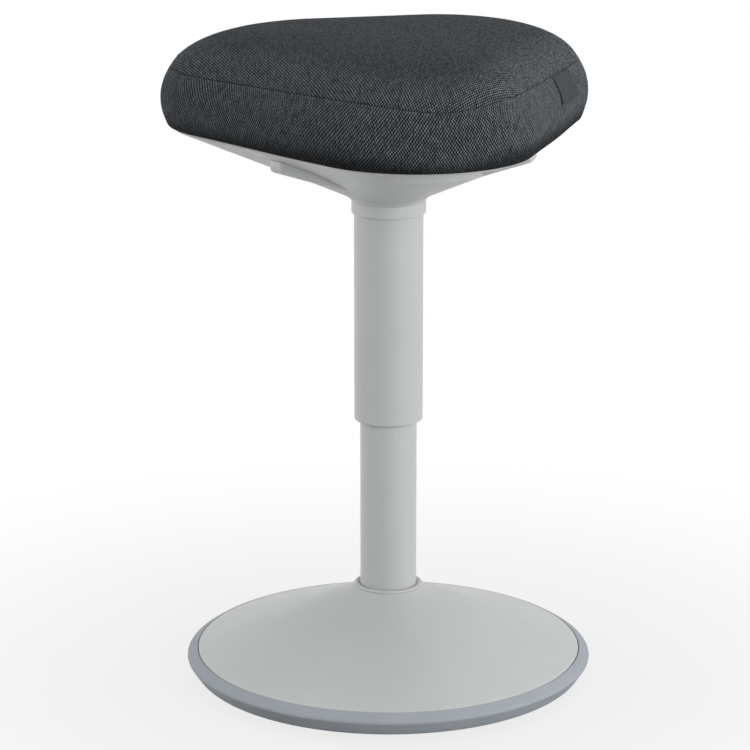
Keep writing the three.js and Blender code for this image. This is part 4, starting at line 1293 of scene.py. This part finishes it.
@dataclass
class ReleaseLevers:
    """Two levers: a blade with round edges under the shell, and an arm to the valve's spool."""

    finishes: Finishes
    azimuths: tuple[float, float] = (210.0, 330.0)
    hub: float = 459.3
    half_width: float = 10.0
    heel: float = 60.5
    tip: float = 137.0
    heel_height: float = 15.7
    heel_depth: float = 10.0
    tip_height: float = 42.1
    tip_depth: float = 10.7
    fullness: float = 4.4
    crest: float = 1.6
    heel_round: float = 2.0
    tip_round: float = 4.0
    cap_power: float = 2.6  # how square the blade's ends are
    cap_width: float = 0.25  # share of the width that the very ends keep
    blade_power: float = 5.0  # how square the section is
    blade_rings: int = 46
    cap_rings: int = 12
    around: int = 56
    arm_half_width: float = 4.5
    arm_power: float = 7.0
    arm_rings: int = 36
    arm_end: float = 0.02  # size of the closed ends, as a share of the section
    neck_depth: float = 3.6
    neck_reach: float = 4.0  # into the blade
    nose_end: float = 14.0
    pivot: float = 38.0
    pivot_height: float = 23.0
    boss: float = 5.0
    nose: float = 5.7
    nose_low: float = 484.75
    nose_depth: float = 3.8

    def build(self) -> None:
        """Makes both levers, each from its blade and its arm."""
        sides = (("left", Body.LEFT_LEVER), ("right", Body.RIGHT_LEVER))
        for (side, body), azimuth in zip(sides, self.azimuths):
            blade = self.build_blade(f"lever_{side}_blade", azimuth)
            finish_piece(
                blade, body, self.finishes.plastic.material(), "grey_plastic", f"lever_{side}"
            )
            arm = self.build_arm(f"lever_{side}_arm", azimuth)
            finish_piece(arm, body, self.finishes.plastic.material(), "grey_plastic")

    def carried(
        self, distance: Array, low: Array, high: Array, half: Array, azimuth: float, power: float
    ) -> Array:
        """A superellipse section carried out along an azimuth.

        Round the section, the point across is half the width times |cos|^(2 / power), and the
        point up is half the depth times |sin|^(2 / power), each with its own sign.

        Args:
            distance: stations from the axis.
            low: lower edge at each.
            high: upper edge at each.
            half: half width at each.
            azimuth: degrees.
            power: how square the section is.

        Returns:
            Points as stations by columns by three.
        """
        turn = np.linspace(0.0, 2 * math.pi, self.around, endpoint=False)[None, :]
        cos, sin = np.cos(turn), np.sin(turn)
        across = half[:, None] * np.sign(cos) * np.abs(cos) ** (2 / power)
        middle, depth = (low + high)[:, None] / 2, (high - low)[:, None] / 2
        up = middle + depth * np.sign(sin) * np.abs(sin) ** (2 / power)
        out = distance[:, None] + 0 * across
        angle = math.radians(azimuth)
        x = out * math.cos(angle) - across * math.sin(angle)
        y = out * math.sin(angle) + across * math.cos(angle)
        return np.stack([x, y, up], axis=-1)

    def build_blade(self, name: str, azimuth: float) -> bpy.types.Object:
        """The blade: straight underneath, full in the middle, with a blunt dome at the tip.

        At share s of the way out the depth runs from the heel's to the tip's, plus the fullness
        times 4 s (1 - s) and the crest times s^3. Over the last millimetres the section shrinks as
        (1 - x^p)^(1 / p), with p the caps' power, and ends in a point.

        Args:
            name: the piece's name.
            azimuth: degrees.

        Returns:
            The blade.
        """
        body = np.linspace(0.0, 1.0, self.blade_rings)
        cap = np.sin(np.linspace(0.0, math.pi / 2, self.cap_rings))[1:]
        start = self.heel + self.heel_round
        straight = self.tip - self.tip_round
        heel = start - self.heel_round * cap[::-1]
        tip = straight + self.tip_round * cap
        distance = np.concatenate([heel, start + (straight - start) * body, tip])
        shrink = np.maximum(1 - cap**self.cap_power, 0.0) ** (1 / self.cap_power)
        size = np.concatenate([shrink[::-1], 0 * body + 1, shrink])
        along = np.clip((distance - self.heel) / (self.tip - self.heel), 0.0, 1.0)
        base = self.heel_height + (self.tip_height - self.heel_height) * along
        depth = self.heel_depth + (self.tip_depth - self.heel_depth) * along
        depth = depth + self.fullness * 4 * along * (1 - along) + self.crest * along**3
        middle = self.hub + base + depth / 2
        low, high = middle - size * depth / 2, middle + size * depth / 2
        width = self.cap_width + (1 - self.cap_width) * size
        half = np.where(size > 0, self.half_width * width, 0.0)
        rings = self.carried(distance, low, high, half, azimuth, self.blade_power)
        return closed_piece(name, rings, Ends.POLES)

    def build_arm(self, name: str, azimuth: float) -> bpy.types.Object:
        """The arm: nose in the spool, a boss round the pin, and a neck into the blade.

        Args:
            name: the piece's name.
            azimuth: degrees.

        Returns:
            The arm.
        """
        end = self.heel + self.neck_reach
        at = [self.nose, self.nose_end, self.pivot - self.boss, self.pivot + self.boss, end]
        pin = self.hub + self.pivot_height
        neck = self.hub + self.heel_height + self.heel_depth
        under, over, top = pin - self.boss, pin + self.boss, self.nose_low + self.nose_depth
        low_at = [self.nose_low, self.nose_low, under, under, neck - self.neck_depth]
        high_at = [top, top, over, over, neck]
        inner = np.linspace(self.nose, end, self.arm_rings)
        distance = np.concatenate([[inner[0]], inner, [inner[-1]]])
        size = np.concatenate([[self.arm_end], 0 * inner + 1, [self.arm_end]])
        low, high = np.interp(distance, at, low_at), np.interp(distance, at, high_at)
        middle, depth = (low + high) / 2, (high - low) / 2 * size
        half = self.arm_half_width * size
        low, high = middle - depth, middle + depth
        rings = self.carried(distance, low, high, half, azimuth, self.arm_power)
        return closed_piece(name, rings, Ends.POLES)


# Cushion


@dataclass(frozen=True)
class Swelling:
    """How the cover is blown up, in Blender's cloth units, and what holds it meanwhile."""

    shrink: float = 1.6  # mm that the cover starts inside its shape
    cap: float = 1.5  # mm that a point may move
    voxel: float = 5.0  # mm
    frames: int = 20
    quality: int = 6
    mass: float = 0.35
    tension: float = 40.0
    shear: float = 20.0
    bending: float = 4.0
    pressure: float = 4.0
    calming: tuple[float, int] = (0.5, 8)  # share and number of the smoothing steps after it
    seam_hold: tuple[float, float] = (5.0, 6.0)  # mm up and down the seam, and inwards
    edge_hold: float = 4.0  # mm above the lower edge
    recess_hold: tuple[float, float] = (4.0, 16.0)  # mm outside the recess's wall, and up it
    edge_reach: float = 12.0  # mm above the lower edge where the swelling is whole


@dataclass
class SewnCushion:
    """The padded seat: a side panel and a crowned top, sewn together along one seam.

    The surface is a grid of azimuth by row. Rows run from the recess underneath, round the lower
    edge, up the side to the seam and over the crown to its middle.
    """

    finishes: Finishes
    outline: SeatOutline = field(default_factory=SeatOutline)
    swelling: Swelling = Swelling()
    bottom: float = 524.3
    undercut: float = 6.3
    undercut_power: float = 2.0
    fuller: Triple = (1.5, 330.0, 20.0)  # mm, azimuth and reach in degrees
    sag: float = 1.5  # of the lower edge outside the shell, at the front and right
    sag_middle: float = 300.0  # azimuth
    sag_reach: tuple[float, float] = (70.0, 120.0)  # degrees from there, all of it and none
    sag_edge: float = 4.0  # mm inside the edge where it is gone
    bulge: float = 22.0
    seam_height: float = 52.3
    seam_inset: float = 10.2
    side_power: float = 2.3
    crown_top: float = 90.4
    crown_edge_power: float = 4.1
    crown_shoulder_power: float = 0.7
    recess_inset: float = 23.5
    recess_top: float = 536.3
    seam_sway: float = 1.9
    seam_swell: tuple[float, float] = (2.8, 50.0)  # mm and degrees to each side of the front
    seam_dip: tuple[float, float] = (6.8, 13.0)
    easing: float = 5.5
    easing_reach: float = 14.0
    crease_depth: float = 0.7
    crease_width: float = 0.55
    ridge_rise: float = 0.35
    ridge_offset: float = 10.0
    ridge_width: float = 0.9
    ridge_side: float = 225.0  # azimuth where the ridge stands out most
    ridge_fade: tuple[float, float] = (-0.2, 0.5)  # cosine of the way from there, least and all
    ridge_least: float = 0.35  # share of the ridge on the far side
    pucker: float = 0.12
    pucker_pitch: float = 5.5
    pucker_reach: float = 3.5
    cut_angle: float = 24.0  # degrees, how the top panel lies on its cloth
    columns: int = 420
    recess_rows: tuple[float, ...] = (0.02, 0.5, 0.95, 0.99)
    wall_rows: tuple[float, ...] = (0.03, 0.5, 0.97)
    under_rows: tuple[float, ...] = (0.05, 0.5, 0.77, 0.86, 0.93, 0.98)
    side_rows: int = 56
    side_crowding: float = 1.35  # how far the rows crowd at the seam
    crown_rows: int = 84
    crown_crowding: float = 1.9
    crown_hole: float = 0.015  # share of the way out of the last ring

    def seam(self, azimuth: Array) -> Array:
        """Height of the seam above the lower edge.

        It sways as a cosine, higher at the front, with a wide bell curve over the front corner
        and a narrow bell curve taken off in its middle.

        Args:
            azimuth: degrees.

        Returns:
            Heights in millimetres.
        """
        angle = angle_from(azimuth, FRONT)
        swell_height, swell_reach = self.seam_swell
        dip_depth, dip_reach = self.seam_dip
        sway = self.seam_sway * np.cos(np.radians(angle))
        swell, dip = swell_height * bell(angle, swell_reach), dip_depth * bell(angle, dip_reach)
        return self.seam_height + sway + swell - dip

    def tucked(self, azimuth: Array) -> Array:
        """The undercut all round, less a bell curve where the foam fills the cover more."""
        depth, middle, reach = self.fuller
        return self.undercut - depth * bell(angle_from(azimuth, middle), reach)

    def slump(self, azimuth: Array, inset: Array | float, height: Array | float) -> Array:
        """How far the cover hangs down outside the shell's rim.

        It is the sag times (1 - h / bulge)^2, so all of it is gone at the widest line.

        Args:
            azimuth: degrees.
            inset: how far inside the outline.
            height: above the lower edge.

        Returns:
            Drops in millimetres.
        """
        front = 1 - smooth_step(*self.sag_reach, np.abs(angle_from(azimuth, self.sag_middle)))
        outside = 1 - smooth_step(self.undercut, self.undercut + self.sag_edge, inset)
        return self.sag * front * outside * np.maximum(1 - height / self.bulge, 0.0) ** 2

    def side_inset(self, height: Array, undercut: Array | float = 0.0) -> Array:
        """How far the side is drawn in.

        Below the widest line it is the undercut times (1 - h / bulge) to a power, and above it
        the seam's inset times ((h - bulge) / (seam - bulge)) to a power.

        Args:
            height: above the lower edge.
            undercut: how far the lower edge is drawn in.

        Returns:
            Insets in millimetres.
        """
        low = undercut * np.maximum(1 - height / self.bulge, 0.0) ** self.undercut_power
        above = np.maximum(height - self.bulge, 0.0) / (self.seam_height - self.bulge)
        return np.where(height < self.bulge, low, self.seam_inset * above**self.side_power)

    def surface(self, azimuth: Array) -> tuple[Array, int]:
        """The whole grid before sewing.

        A crown row at share s of the way out has the height seam + (crown - seam) times
        (1 - s^edge)^shoulder.

        Args:
            azimuth: one row of degrees.

        Returns:
            The points, and the number of the row that lies on the seam.
        """
        hidden = self.underside(azimuth)
        seam = self.seam(azimuth)
        share = np.linspace(0.0, 1.0, self.side_rows)[:, None]
        height = (1 - (1 - share) ** self.side_crowding) * seam
        radius = self.outline.radius(azimuth, self.side_inset(height, self.tucked(azimuth)))
        sunk = self.slump(azimuth, 0.0, height)
        side = seat_points(azimuth, radius, self.bottom + height - sunk)
        inward = np.linspace(0.0, 1.0, self.crown_rows + 1)[1:, None] ** self.crown_crowding
        out = (1 - inward) * (1 - self.crown_hole) + self.crown_hole
        rise = (1 - out**self.crown_edge_power) ** self.crown_shoulder_power
        rim = self.outline.radius(azimuth, self.side_inset(seam))
        height = seam + rise * (self.crown_top - seam)
        crown = seat_points(azimuth, out * rim, self.bottom + height)
        shown = self.eased(np.concatenate([side, crown]), self.side_rows - 1)
        return np.concatenate([hidden, shown]), len(hidden) + self.side_rows - 1

    def underside(self, azimuth: Array) -> Array:
        """The rows out of sight: the recess, its wall, and the flat out to the lower edge.

        Args:
            azimuth: one row of degrees.

        Returns:
            The points.
        """
        recess = self.outline.radius(azimuth, self.recess_inset)
        edge = self.outline.radius(azimuth, self.tucked(azimuth))
        level, wall, flat = (
            np.array(rows)[:, None] for rows in (self.recess_rows, self.wall_rows, self.under_rows)
        )
        roof = seat_points(azimuth, recess * level, self.recess_top)
        fall = self.recess_top + (self.bottom - self.recess_top) * wall
        walls = seat_points(azimuth, recess + 0 * wall, fall)
        inset = self.recess_inset + (self.undercut - self.recess_inset) * flat
        sunk = self.slump(azimuth, inset, 0.0)
        under = seat_points(azimuth, recess + (edge - recess) * flat, self.bottom - sunk)
        return np.concatenate([roof, walls, under])

    def eased(self, rows: Array, seam_row: int) -> Array:
        """Rows of the cover whose profile runs smoothly across the seam.

        Each point becomes a mean of its column, weighted by a bell curve of the distance along
        the surface, and that mean counts less with the distance from the seam.

        Args:
            rows: rings of points from the lower edge to the crown.
            seam_row: the row on the seam.

        Returns:
            The eased rows.
        """
        step = np.linalg.norm(np.diff(rows, axis=0), axis=-1).mean(axis=1)
        run = np.concatenate([[0.0], np.cumsum(step)])
        weight = np.exp(-0.5 * ((run[:, None] - run[None, :]) / self.easing) ** 2)
        weight = weight * np.gradient(run)[None, :]
        mean = np.einsum("ij,jkl->ikl", weight / weight.sum(axis=1, keepdims=True), rows)
        share = bell(run - run[seam_row], self.easing_reach)[:, None, None]
        return rows + share * (mean - rows)

    def build(self) -> bpy.types.Object:
        """Makes the cushion: base shape, swelling by cloth simulation, then the sewn lines.

        Returns:
            The cushion.
        """
        rows, seam_row = self.surface(azimuth_row(self.columns))
        piece = closed_piece("cushion_pad", rows, Ends.POLES)
        self.swell(piece, seam_row)
        self.sew(piece, rows, seam_row)
        self.lay_cloth(piece, seam_row)
        finish = self.finishes.seat_cloth.material()
        finish_piece(piece, Body.SEAT, finish, "seat_cloth", "cushion")
        return piece

    def swell(self, piece: bpy.types.Object, seam_row: int) -> None:
        """Blows the cover up a little under pressure, held at the seam and underneath.

        A slightly smaller copy is remeshed and simulated, and the fine grid is drawn onto it.
        Each point then moves along its own normal, with the shrinking given back, and the cap
        times the hyperbolic tangent limits the move.

        Args:
            piece: the cushion's grid.
            seam_row: the row on the seam.
        """
        how = self.swelling
        rest, normals = places(piece.data), facing(piece.data)
        soft = piece.copy()
        soft.data = piece.data.copy()
        bpy.context.scene.collection.objects.link(soft)
        place(soft.data, rest - normals * how.shrink * MM)
        self.simulate(soft)
        wrap = piece.modifiers.new("wrap", "SHRINKWRAP")
        wrap.wrap_method = "NEAREST_SURFACEPOINT"
        wrap.target = soft
        graph = bpy.context.evaluated_depsgraph_get()
        wrapped = places(piece.evaluated_get(graph).data)
        piece.modifiers.clear()
        bpy.data.objects.remove(soft)
        move = ((wrapped - rest) * normals).sum(1) / MM + how.shrink
        LOG.info("swelling: %.2f to %.2f mm before the cap", move.min(), move.max())
        height = rest[:, 2] / MM - self.bottom
        shown = np.arange(len(rest)) >= (seam_row + 1 - self.side_rows) * self.columns
        share = np.where(shown, smooth_step(0.0, how.edge_reach, height), 0.0)
        move = how.cap * np.tanh(move / how.cap) * share
        place(piece.data, rest + normals * move[:, None] * MM)

    def simulate(self, soft: bpy.types.Object) -> None:
        """Remeshes a copy of the cover evenly, blows it up as cloth and calms the result.

        Args:
            soft: the copy, which is changed.
        """
        how, scene = self.swelling, bpy.context.scene
        remesh = soft.modifiers.new("even", "REMESH")
        remesh.mode = "VOXEL"
        remesh.voxel_size = how.voxel * MM
        apply_modifiers(soft)
        held = soft.vertex_groups.new(name="held")
        held.add(np.flatnonzero(self.held(places(soft.data) / MM)).tolist(), 1.0, "REPLACE")
        cloth = soft.modifiers.new("cloth", "CLOTH")
        settings = cloth.settings
        settings.quality = how.quality
        settings.mass = how.mass
        settings.tension_stiffness = settings.compression_stiffness = how.tension
        settings.shear_stiffness = how.shear
        settings.bending_stiffness = how.bending
        settings.use_pressure = True
        settings.uniform_pressure_force = how.pressure
        settings.vertex_group_mass = "held"
        settings.effector_weights.gravity = 0.0
        cloth.collision_settings.use_collision = False
        cloth.point_cache.frame_start, cloth.point_cache.frame_end = 1, how.frames
        for frame in range(1, how.frames + 1):
            scene.frame_set(frame)
        apply_modifiers(soft)
        calm = soft.modifiers.new("calm", "SMOOTH")
        calm.factor, calm.iterations = how.calming
        apply_modifiers(soft)
        scene.frame_set(1)

    def held(self, points: Array) -> Array:
        """Which points of the cover stay put: at the seam, near the lower edge and the recess.

        Args:
            points: places in millimetres.

        Returns:
            True for each held point.
        """
        how = self.swelling
        azimuth = np.degrees(np.arctan2(points[:, 1], points[:, 0]))
        above = points[:, 2] - self.bottom
        outer = np.hypot(points[:, 0], points[:, 1])
        along, inward = how.seam_hold
        rim = self.outline.radius(azimuth, self.side_inset(self.seam(azimuth)))
        on_seam = (np.abs(above - self.seam(azimuth)) < along) & (outer > rim - inward)
        beyond, up = how.recess_hold
        wall = self.outline.radius(azimuth, self.recess_inset - beyond)
        return on_seam | (above < how.edge_hold) | ((outer < wall) & (above < up))

    def sew(self, piece: bpy.types.Object, rows: Array, seam_row: int) -> None:
        """Draws in the seam, raises the folded allowance over it and puckers the cloth.

        Each is a bell curve of the distance from the seam along the surface; the puckers are a
        cosine along the seam that fades with that distance.

        Args:
            piece: the cushion.
            rows: the grid before sewing.
            seam_row: the row on the seam.
        """
        points, normals = places(piece.data), facing(piece.data)
        run = run_along(rows)
        away = run - run[seam_row]
        crease = -self.crease_depth * bell(away, self.crease_width)
        aside = np.cos(np.radians(azimuth_row(self.columns) - self.ridge_side))
        stands = self.ridge_least + (1 - self.ridge_least) * smooth_step(*self.ridge_fade, aside)
        ridge = self.ridge_rise * bell(away - self.ridge_offset, self.ridge_width) * stands
        around = np.cumsum(steps_round(rows[seam_row]))
        pulls = np.round(around[-1] / self.pucker_pitch)
        wave = np.cos(around / around[-1] * 2 * math.pi * pulls)
        pucker = self.pucker * wave * bell(away, self.pucker_reach)
        move = (crease + ridge + pucker).reshape(-1)
        points[: len(move)] += normals[: len(move)] * move[:, None] * MM
        place(piece.data, points)

    def lay_cloth(self, piece: bpy.types.Object, seam_row: int) -> None:
        """Gives each panel its own flat cloth, cut at the seam, and maps the seam.

        The side panel's map is the way round by the way up. The top panel's is the way out from
        the middle along the surface, in the direction of the azimuth turned by the cut angle.
        The seam's map is the way up from the seam by the way round.

        Args:
            piece: the cushion.
            seam_row: the row on the seam.
        """
        mesh = piece.data
        grid = places(mesh)[:-2].reshape(-1, self.columns, 3)
        bands = len(grid) - 1
        up = run_along(grid)
        around = np.concatenate([[0.0], np.cumsum(steps_round(grid[seam_row]))])
        out = up[-1] - up + np.hypot(grid[-1, :, 0], grid[-1, :, 1])
        angle = np.arctan2(grid[..., 1], grid[..., 0]) + math.radians(self.cut_angle)
        top = np.stack([out * np.cos(angle), out * np.sin(angle)], axis=-1)
        corner_of = np.zeros(len(mesh.loops), np.int64)
        mesh.loops.foreach_get("vertex_index", corner_of)
        quads = band_faces(len(grid), self.columns, Ends.POLES).reshape(bands, self.columns, 4)
        band, column = np.meshgrid(np.arange(bands), np.arange(self.columns), indexing="ij")
        unrolled = np.stack([column, column + 1, column + 1, column], axis=-1)
        if corner_of[:4].tolist() != quads[0, 0].tolist():
            quads, unrolled = quads[..., ::-1], unrolled[..., ::-1]
        at = quads // self.columns, quads % self.columns
        side = np.stack([around[unrolled], up[at]], axis=-1)
        charts = np.where((band >= seam_row)[..., None, None], top[at], side).reshape(-1, 2)
        fans = corner_of[len(charts) :]
        middles = np.concatenate([top.reshape(-1, 2), np.zeros((2, 2))])
        lay_map(mesh, "cloth", np.concatenate([charts, middles[fans]]))
        reach = up - up[seam_row]
        away = np.concatenate([reach.ravel(), [reach[0].mean(), reach[-1].mean()]])[corner_of]
        ways = np.concatenate([around[unrolled].ravel(), np.zeros(len(fans))])
        lay_map(mesh, "seam", np.stack([away, ways], axis=1))


@dataclass
class SeamTag:
    """The bare woven tab that is sewn into the seam on the right-hand side."""

    finishes: Finishes
    cushion: SewnCushion
    side: float = 330.0
    offset: float = 27.5
    width: float = 56.0
    length: float = 24.0
    thickness: float = 0.9
    lift: float = 0.5
    clearance: float = 3.0  # off the side before it is drawn onto it
    columns: int = 57
    rows: int = 27

    def build(self, pad: bpy.types.Object) -> None:
        """Makes the tab: a strip down the cushion's side, drawn onto it and given its thickness.

        Args:
            pad: the finished cushion.
        """
        outline = self.cushion.outline
        u = np.linspace(-0.5, 0.5, self.columns)[None, :] * self.width + self.offset
        v = np.linspace(0.0, 1.0, self.rows)[:, None] * self.length
        reach = outline.corner_centre / 2 + outline.corner_radius
        azimuth = self.side + np.degrees(np.arctan2(u, reach))
        height = self.cushion.seam(azimuth) - v
        out = outline.radius(azimuth, self.cushion.side_inset(height)) + self.clearance
        points = seat_points(azimuth + 0 * height, out, self.cushion.bottom + height)
        index = np.arange(self.rows * self.columns).reshape(self.rows, self.columns)
        quads = np.stack(
            [index[:-1, :-1], index[1:, :-1], index[1:, 1:], index[:-1, 1:]], axis=-1
        ).reshape(-1, 4)
        tab = new_piece("seam_tab", points.reshape(-1, 3) * MM, quads.tolist())
        flat = np.stack([u + 0 * v, v + 0 * u], axis=-1).reshape(-1, 2) * MM
        lay_map(tab.data, "cloth", flat[quads.ravel()])
        wrap = tab.modifiers.new("lie", "SHRINKWRAP")
        wrap.wrap_method = "NEAREST_SURFACEPOINT"
        wrap.wrap_mode = "OUTSIDE_SURFACE"
        wrap.target = pad
        wrap.offset = self.lift * MM
        apply_modifiers(tab)
        wall = tab.modifiers.new("thickness", "SOLIDIFY")
        wall.thickness = self.thickness * MM
        wall.offset = 1.0
        wall.use_even_offset = True
        apply_modifiers(tab)
        finish_piece(tab, Body.SEAT, self.finishes.tag_cloth.material(), "tag_cloth", "side_tag")


# Hidden parts


@dataclass
class InnerWorks:
    """The CAD nodes that stay as they are, dressed by what they are made of."""

    finishes: Finishes
    nodes: dict[str, bpy.types.Object]

    def dress(self) -> None:
        """Gives every shown CAD node its finish."""
        kinds = {
            "steel": self.finishes.steel.material(),
            "alloy": self.finishes.alloy.material(),
            "nylon": self.finishes.nylon.material(),
            "black": self.finishes.black_steel.material(),
            "iron": self.finishes.cast_iron.material(),
            "rubber": self.finishes.sole_rubber.material(),
            "plywood": self.finishes.plywood.material(),
        }
        made_of = {
            "ballast_plate": "iron", "tube_flange": "black", "tube_floor": "black",
            "gas_cylinder": "black", "rod_clip": "black", "guide_bush": "nylon",
            "piston": "nylon", "valve_spool": "nylon", "cylinder_gland": "alloy",
            "lift_head": "alloy", "seat_board": "plywood", "bump_stop": "rubber",
        }
        for name, node in self.nodes.items():
            if node.hide_render:
                continue
            kind = made_of.get(name, "steel")
            node.data.materials.clear()
            node.data.materials.append(kinds[kind])
            LOG.info("%s: CAD node, %s", name, kind)


# Studio


@dataclass(frozen=True)
class Lamp:
    """One square soft lamp, placed and aimed by the camera's directions."""

    name: str
    place_at: Triple
    aim: Triple
    size: float  # metres
    power: float  # watts


@dataclass
class Studio:
    """Pale floor, soft lamps and the camera.

    Directions are as the camera sees them: right, away and up from the middle of the floor.
    """

    turn: float = -13.5  # degrees, from looking along +Y
    distance: float = 2.863  # metres, level with the floor's middle
    height: float = 1.0768
    pitch: float = 15.34
    yaw: float = 0.25
    lens: float = 154.03
    sensor: float = 36.0
    clip: tuple[float, float] = (0.1, 100.0)
    sky: float = 0.30
    lamps: tuple[Lamp, ...] = (
        Lamp("front", (1.7, -2.3, 1.2), aim=(0.0, 0.0, 0.35), size=1.6, power=46.0),
        Lamp("right", (2.6, 0.3, 0.9), aim=(0.0, 0.0, 0.4), size=1.6, power=16.0),
        Lamp("left", (-2.6, 0.5, 1.0), aim=(0.0, 0.0, 0.35), size=1.2, power=33.0),
        Lamp("top", (0.3, 0.2, 3.0), aim=(0.0, 0.0, 0.3), size=2.0, power=36.0),
    )
    floor_colour: Colour = (0.45, 0.45, 0.45)
    floor_reach: float = 9.0
    floor_points: int = 13  # along each side
    floor_gap: float = 0.0004  # under the stool
    floor_grain: tuple[float, float] = (3.0, 0.02)  # mm, size and depth
    white: tuple[float, float] = (0.19, 0.75)  # metres out, where the white starts and is whole
    near_white: float = 0.80  # share of white under the stool

    def point(self, right: float, away: float, up: float) -> Vector:
        """A place in the part's frame from camera directions.

        Args:
            right: metres to the right of the floor's middle.
            away: metres away from the camera.
            up: metres above the floor.

        Returns:
            The place.
        """
        angle = math.radians(self.turn)
        x = right * math.cos(angle) - away * math.sin(angle)
        y = right * math.sin(angle) + away * math.cos(angle)
        return Vector((x, y, up))

    def build(self) -> None:
        """Makes the camera, the lamps, the world and the floor."""
        self.build_camera()
        for lamp in self.lamps:
            self.build_lamp(lamp)
        self.build_world()
        self.build_floor()

    def build_camera(self) -> None:
        """The camera, which looks down on the stool from the left of its front corner."""
        data = bpy.data.cameras.new("camera")
        data.lens = self.lens
        data.sensor_width = self.sensor
        data.clip_start, data.clip_end = self.clip
        camera = bpy.data.objects.new("camera", data)
        camera.location = self.point(0.0, -self.distance, self.height)
        tilt, heading = math.radians(90.0 - self.pitch), math.radians(self.turn + self.yaw)
        camera.rotation_euler = (tilt, 0.0, heading)
        bpy.context.scene.collection.objects.link(camera)
        bpy.context.scene.camera = camera

    def build_lamp(self, lamp: Lamp) -> None:
        """Makes one lamp.

        Args:
            lamp: its place, aim, size and power.
        """
        data = bpy.data.lights.new(lamp.name, "AREA")
        data.size = lamp.size
        data.energy = lamp.power
        light = bpy.data.objects.new(lamp.name, data)
        light.location = self.point(*lamp.place_at)
        heading = self.point(*lamp.aim) - light.location
        light.rotation_euler = heading.to_track_quat("-Z", "Y").to_euler()
        bpy.context.scene.collection.objects.link(light)

    def build_world(self) -> None:
        """A world that lights softly and shows white to the camera and in reflections."""
        world = bpy.data.worlds.new("studio")
        world.use_nodes = True
        tree = world.node_tree
        lit = tree.nodes["Background"]
        lit.inputs["Color"].default_value = WHITE
        lit.inputs["Strength"].default_value = self.sky
        seen = tree.nodes.new("ShaderNodeBackground")
        seen.inputs["Color"].default_value = WHITE
        seen.inputs["Strength"].default_value = 1.0
        mix = tree.nodes.new("ShaderNodeMixShader")
        tree.links.new(self.seen_directly(tree), mix.inputs[0])
        tree.links.new(lit.outputs[0], mix.inputs[1])
        tree.links.new(seen.outputs[0], mix.inputs[2])
        tree.links.new(mix.outputs[0], tree.nodes["World Output"].inputs[0])
        bpy.context.scene.world = world

    def seen_directly(self, tree: bpy.types.NodeTree) -> bpy.types.NodeSocket:
        """Tells rays that show the studio from rays that light the stool.

        Args:
            tree: the nodes of the world or of a material.

        Returns:
            A socket with 1 for rays from the camera, a mirror or through glass, and 0 otherwise.
        """
        path = tree.nodes.new("ShaderNodeLightPath")
        first = tree.nodes.new("ShaderNodeMath")
        first.operation = "MAXIMUM"
        tree.links.new(path.outputs["Is Camera Ray"], first.inputs[0])
        tree.links.new(path.outputs["Is Glossy Ray"], first.inputs[1])
        second = tree.nodes.new("ShaderNodeMath")
        second.operation = "MAXIMUM"
        tree.links.new(first.outputs[0], second.inputs[0])
        tree.links.new(path.outputs["Is Transmission Ray"], second.inputs[1])
        return second.outputs[0]

    def build_floor(self) -> None:
        """The floor: pale, with the stool's shadow near it and plain white far away."""
        side = np.linspace(-self.floor_reach, self.floor_reach, self.floor_points)
        x, y = np.meshgrid(side, side)
        points = np.stack([x, y, 0 * x - self.floor_gap], axis=-1).reshape(-1, 3)
        index = np.arange(len(points)).reshape(x.shape)
        quads = np.stack([index[:-1, :-1], index[:-1, 1:], index[1:, 1:], index[1:, :-1]], axis=-1)
        floor = new_piece("floor", points, quads.reshape(-1, 4).tolist())
        board = NodeBoard("pale_floor")
        board.set(Base_Color=self.floor_colour, Roughness=0.9, Specular_IOR_Level=0.1)
        size, depth = self.floor_grain
        board.bump(board.noise(board.place(), size), depth)
        glow = board.node("ShaderNodeEmission")
        glow.inputs["Strength"].default_value = 1.0
        reach = board.node("ShaderNodeVectorMath", operation="LENGTH")
        board.link(board.place(), reach.inputs[0])
        white = board.ranged(reach.outputs["Value"], *self.white, low=self.near_white)
        share = board.math("MULTIPLY", white, self.seen_directly(board.tree))
        mix = board.node("ShaderNodeMixShader")
        board.link(share, mix.inputs[0])
        board.link(board.shader.outputs[0], mix.inputs[1])
        board.link(glow.outputs[0], mix.inputs[2])
        board.link(mix.outputs[0], board.tree.nodes["Material Output"].inputs[0])
        floor.data.materials.append(board.material)


def main() -> None:
    """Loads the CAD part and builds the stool's looks in order."""
    logging.basicConfig(level=logging.INFO, format="%(name)s: %(message)s")
    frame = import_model()
    bpy.context.scene.view_settings.view_transform = "Standard"
    finishes = Finishes()
    Studio().build()
    RockingBase(finishes).build()
    LiftSleeve(finishes).build()
    SeatTray(finishes).build()
    ReleaseLevers(finishes).build()
    cushion = SewnCushion(finishes)
    pad = cushion.build()
    SeamTag(finishes, cushion).build(pad)
    InnerWorks(finishes, frame["nodes"]).dress()


if __name__ == "__main__":
    main()
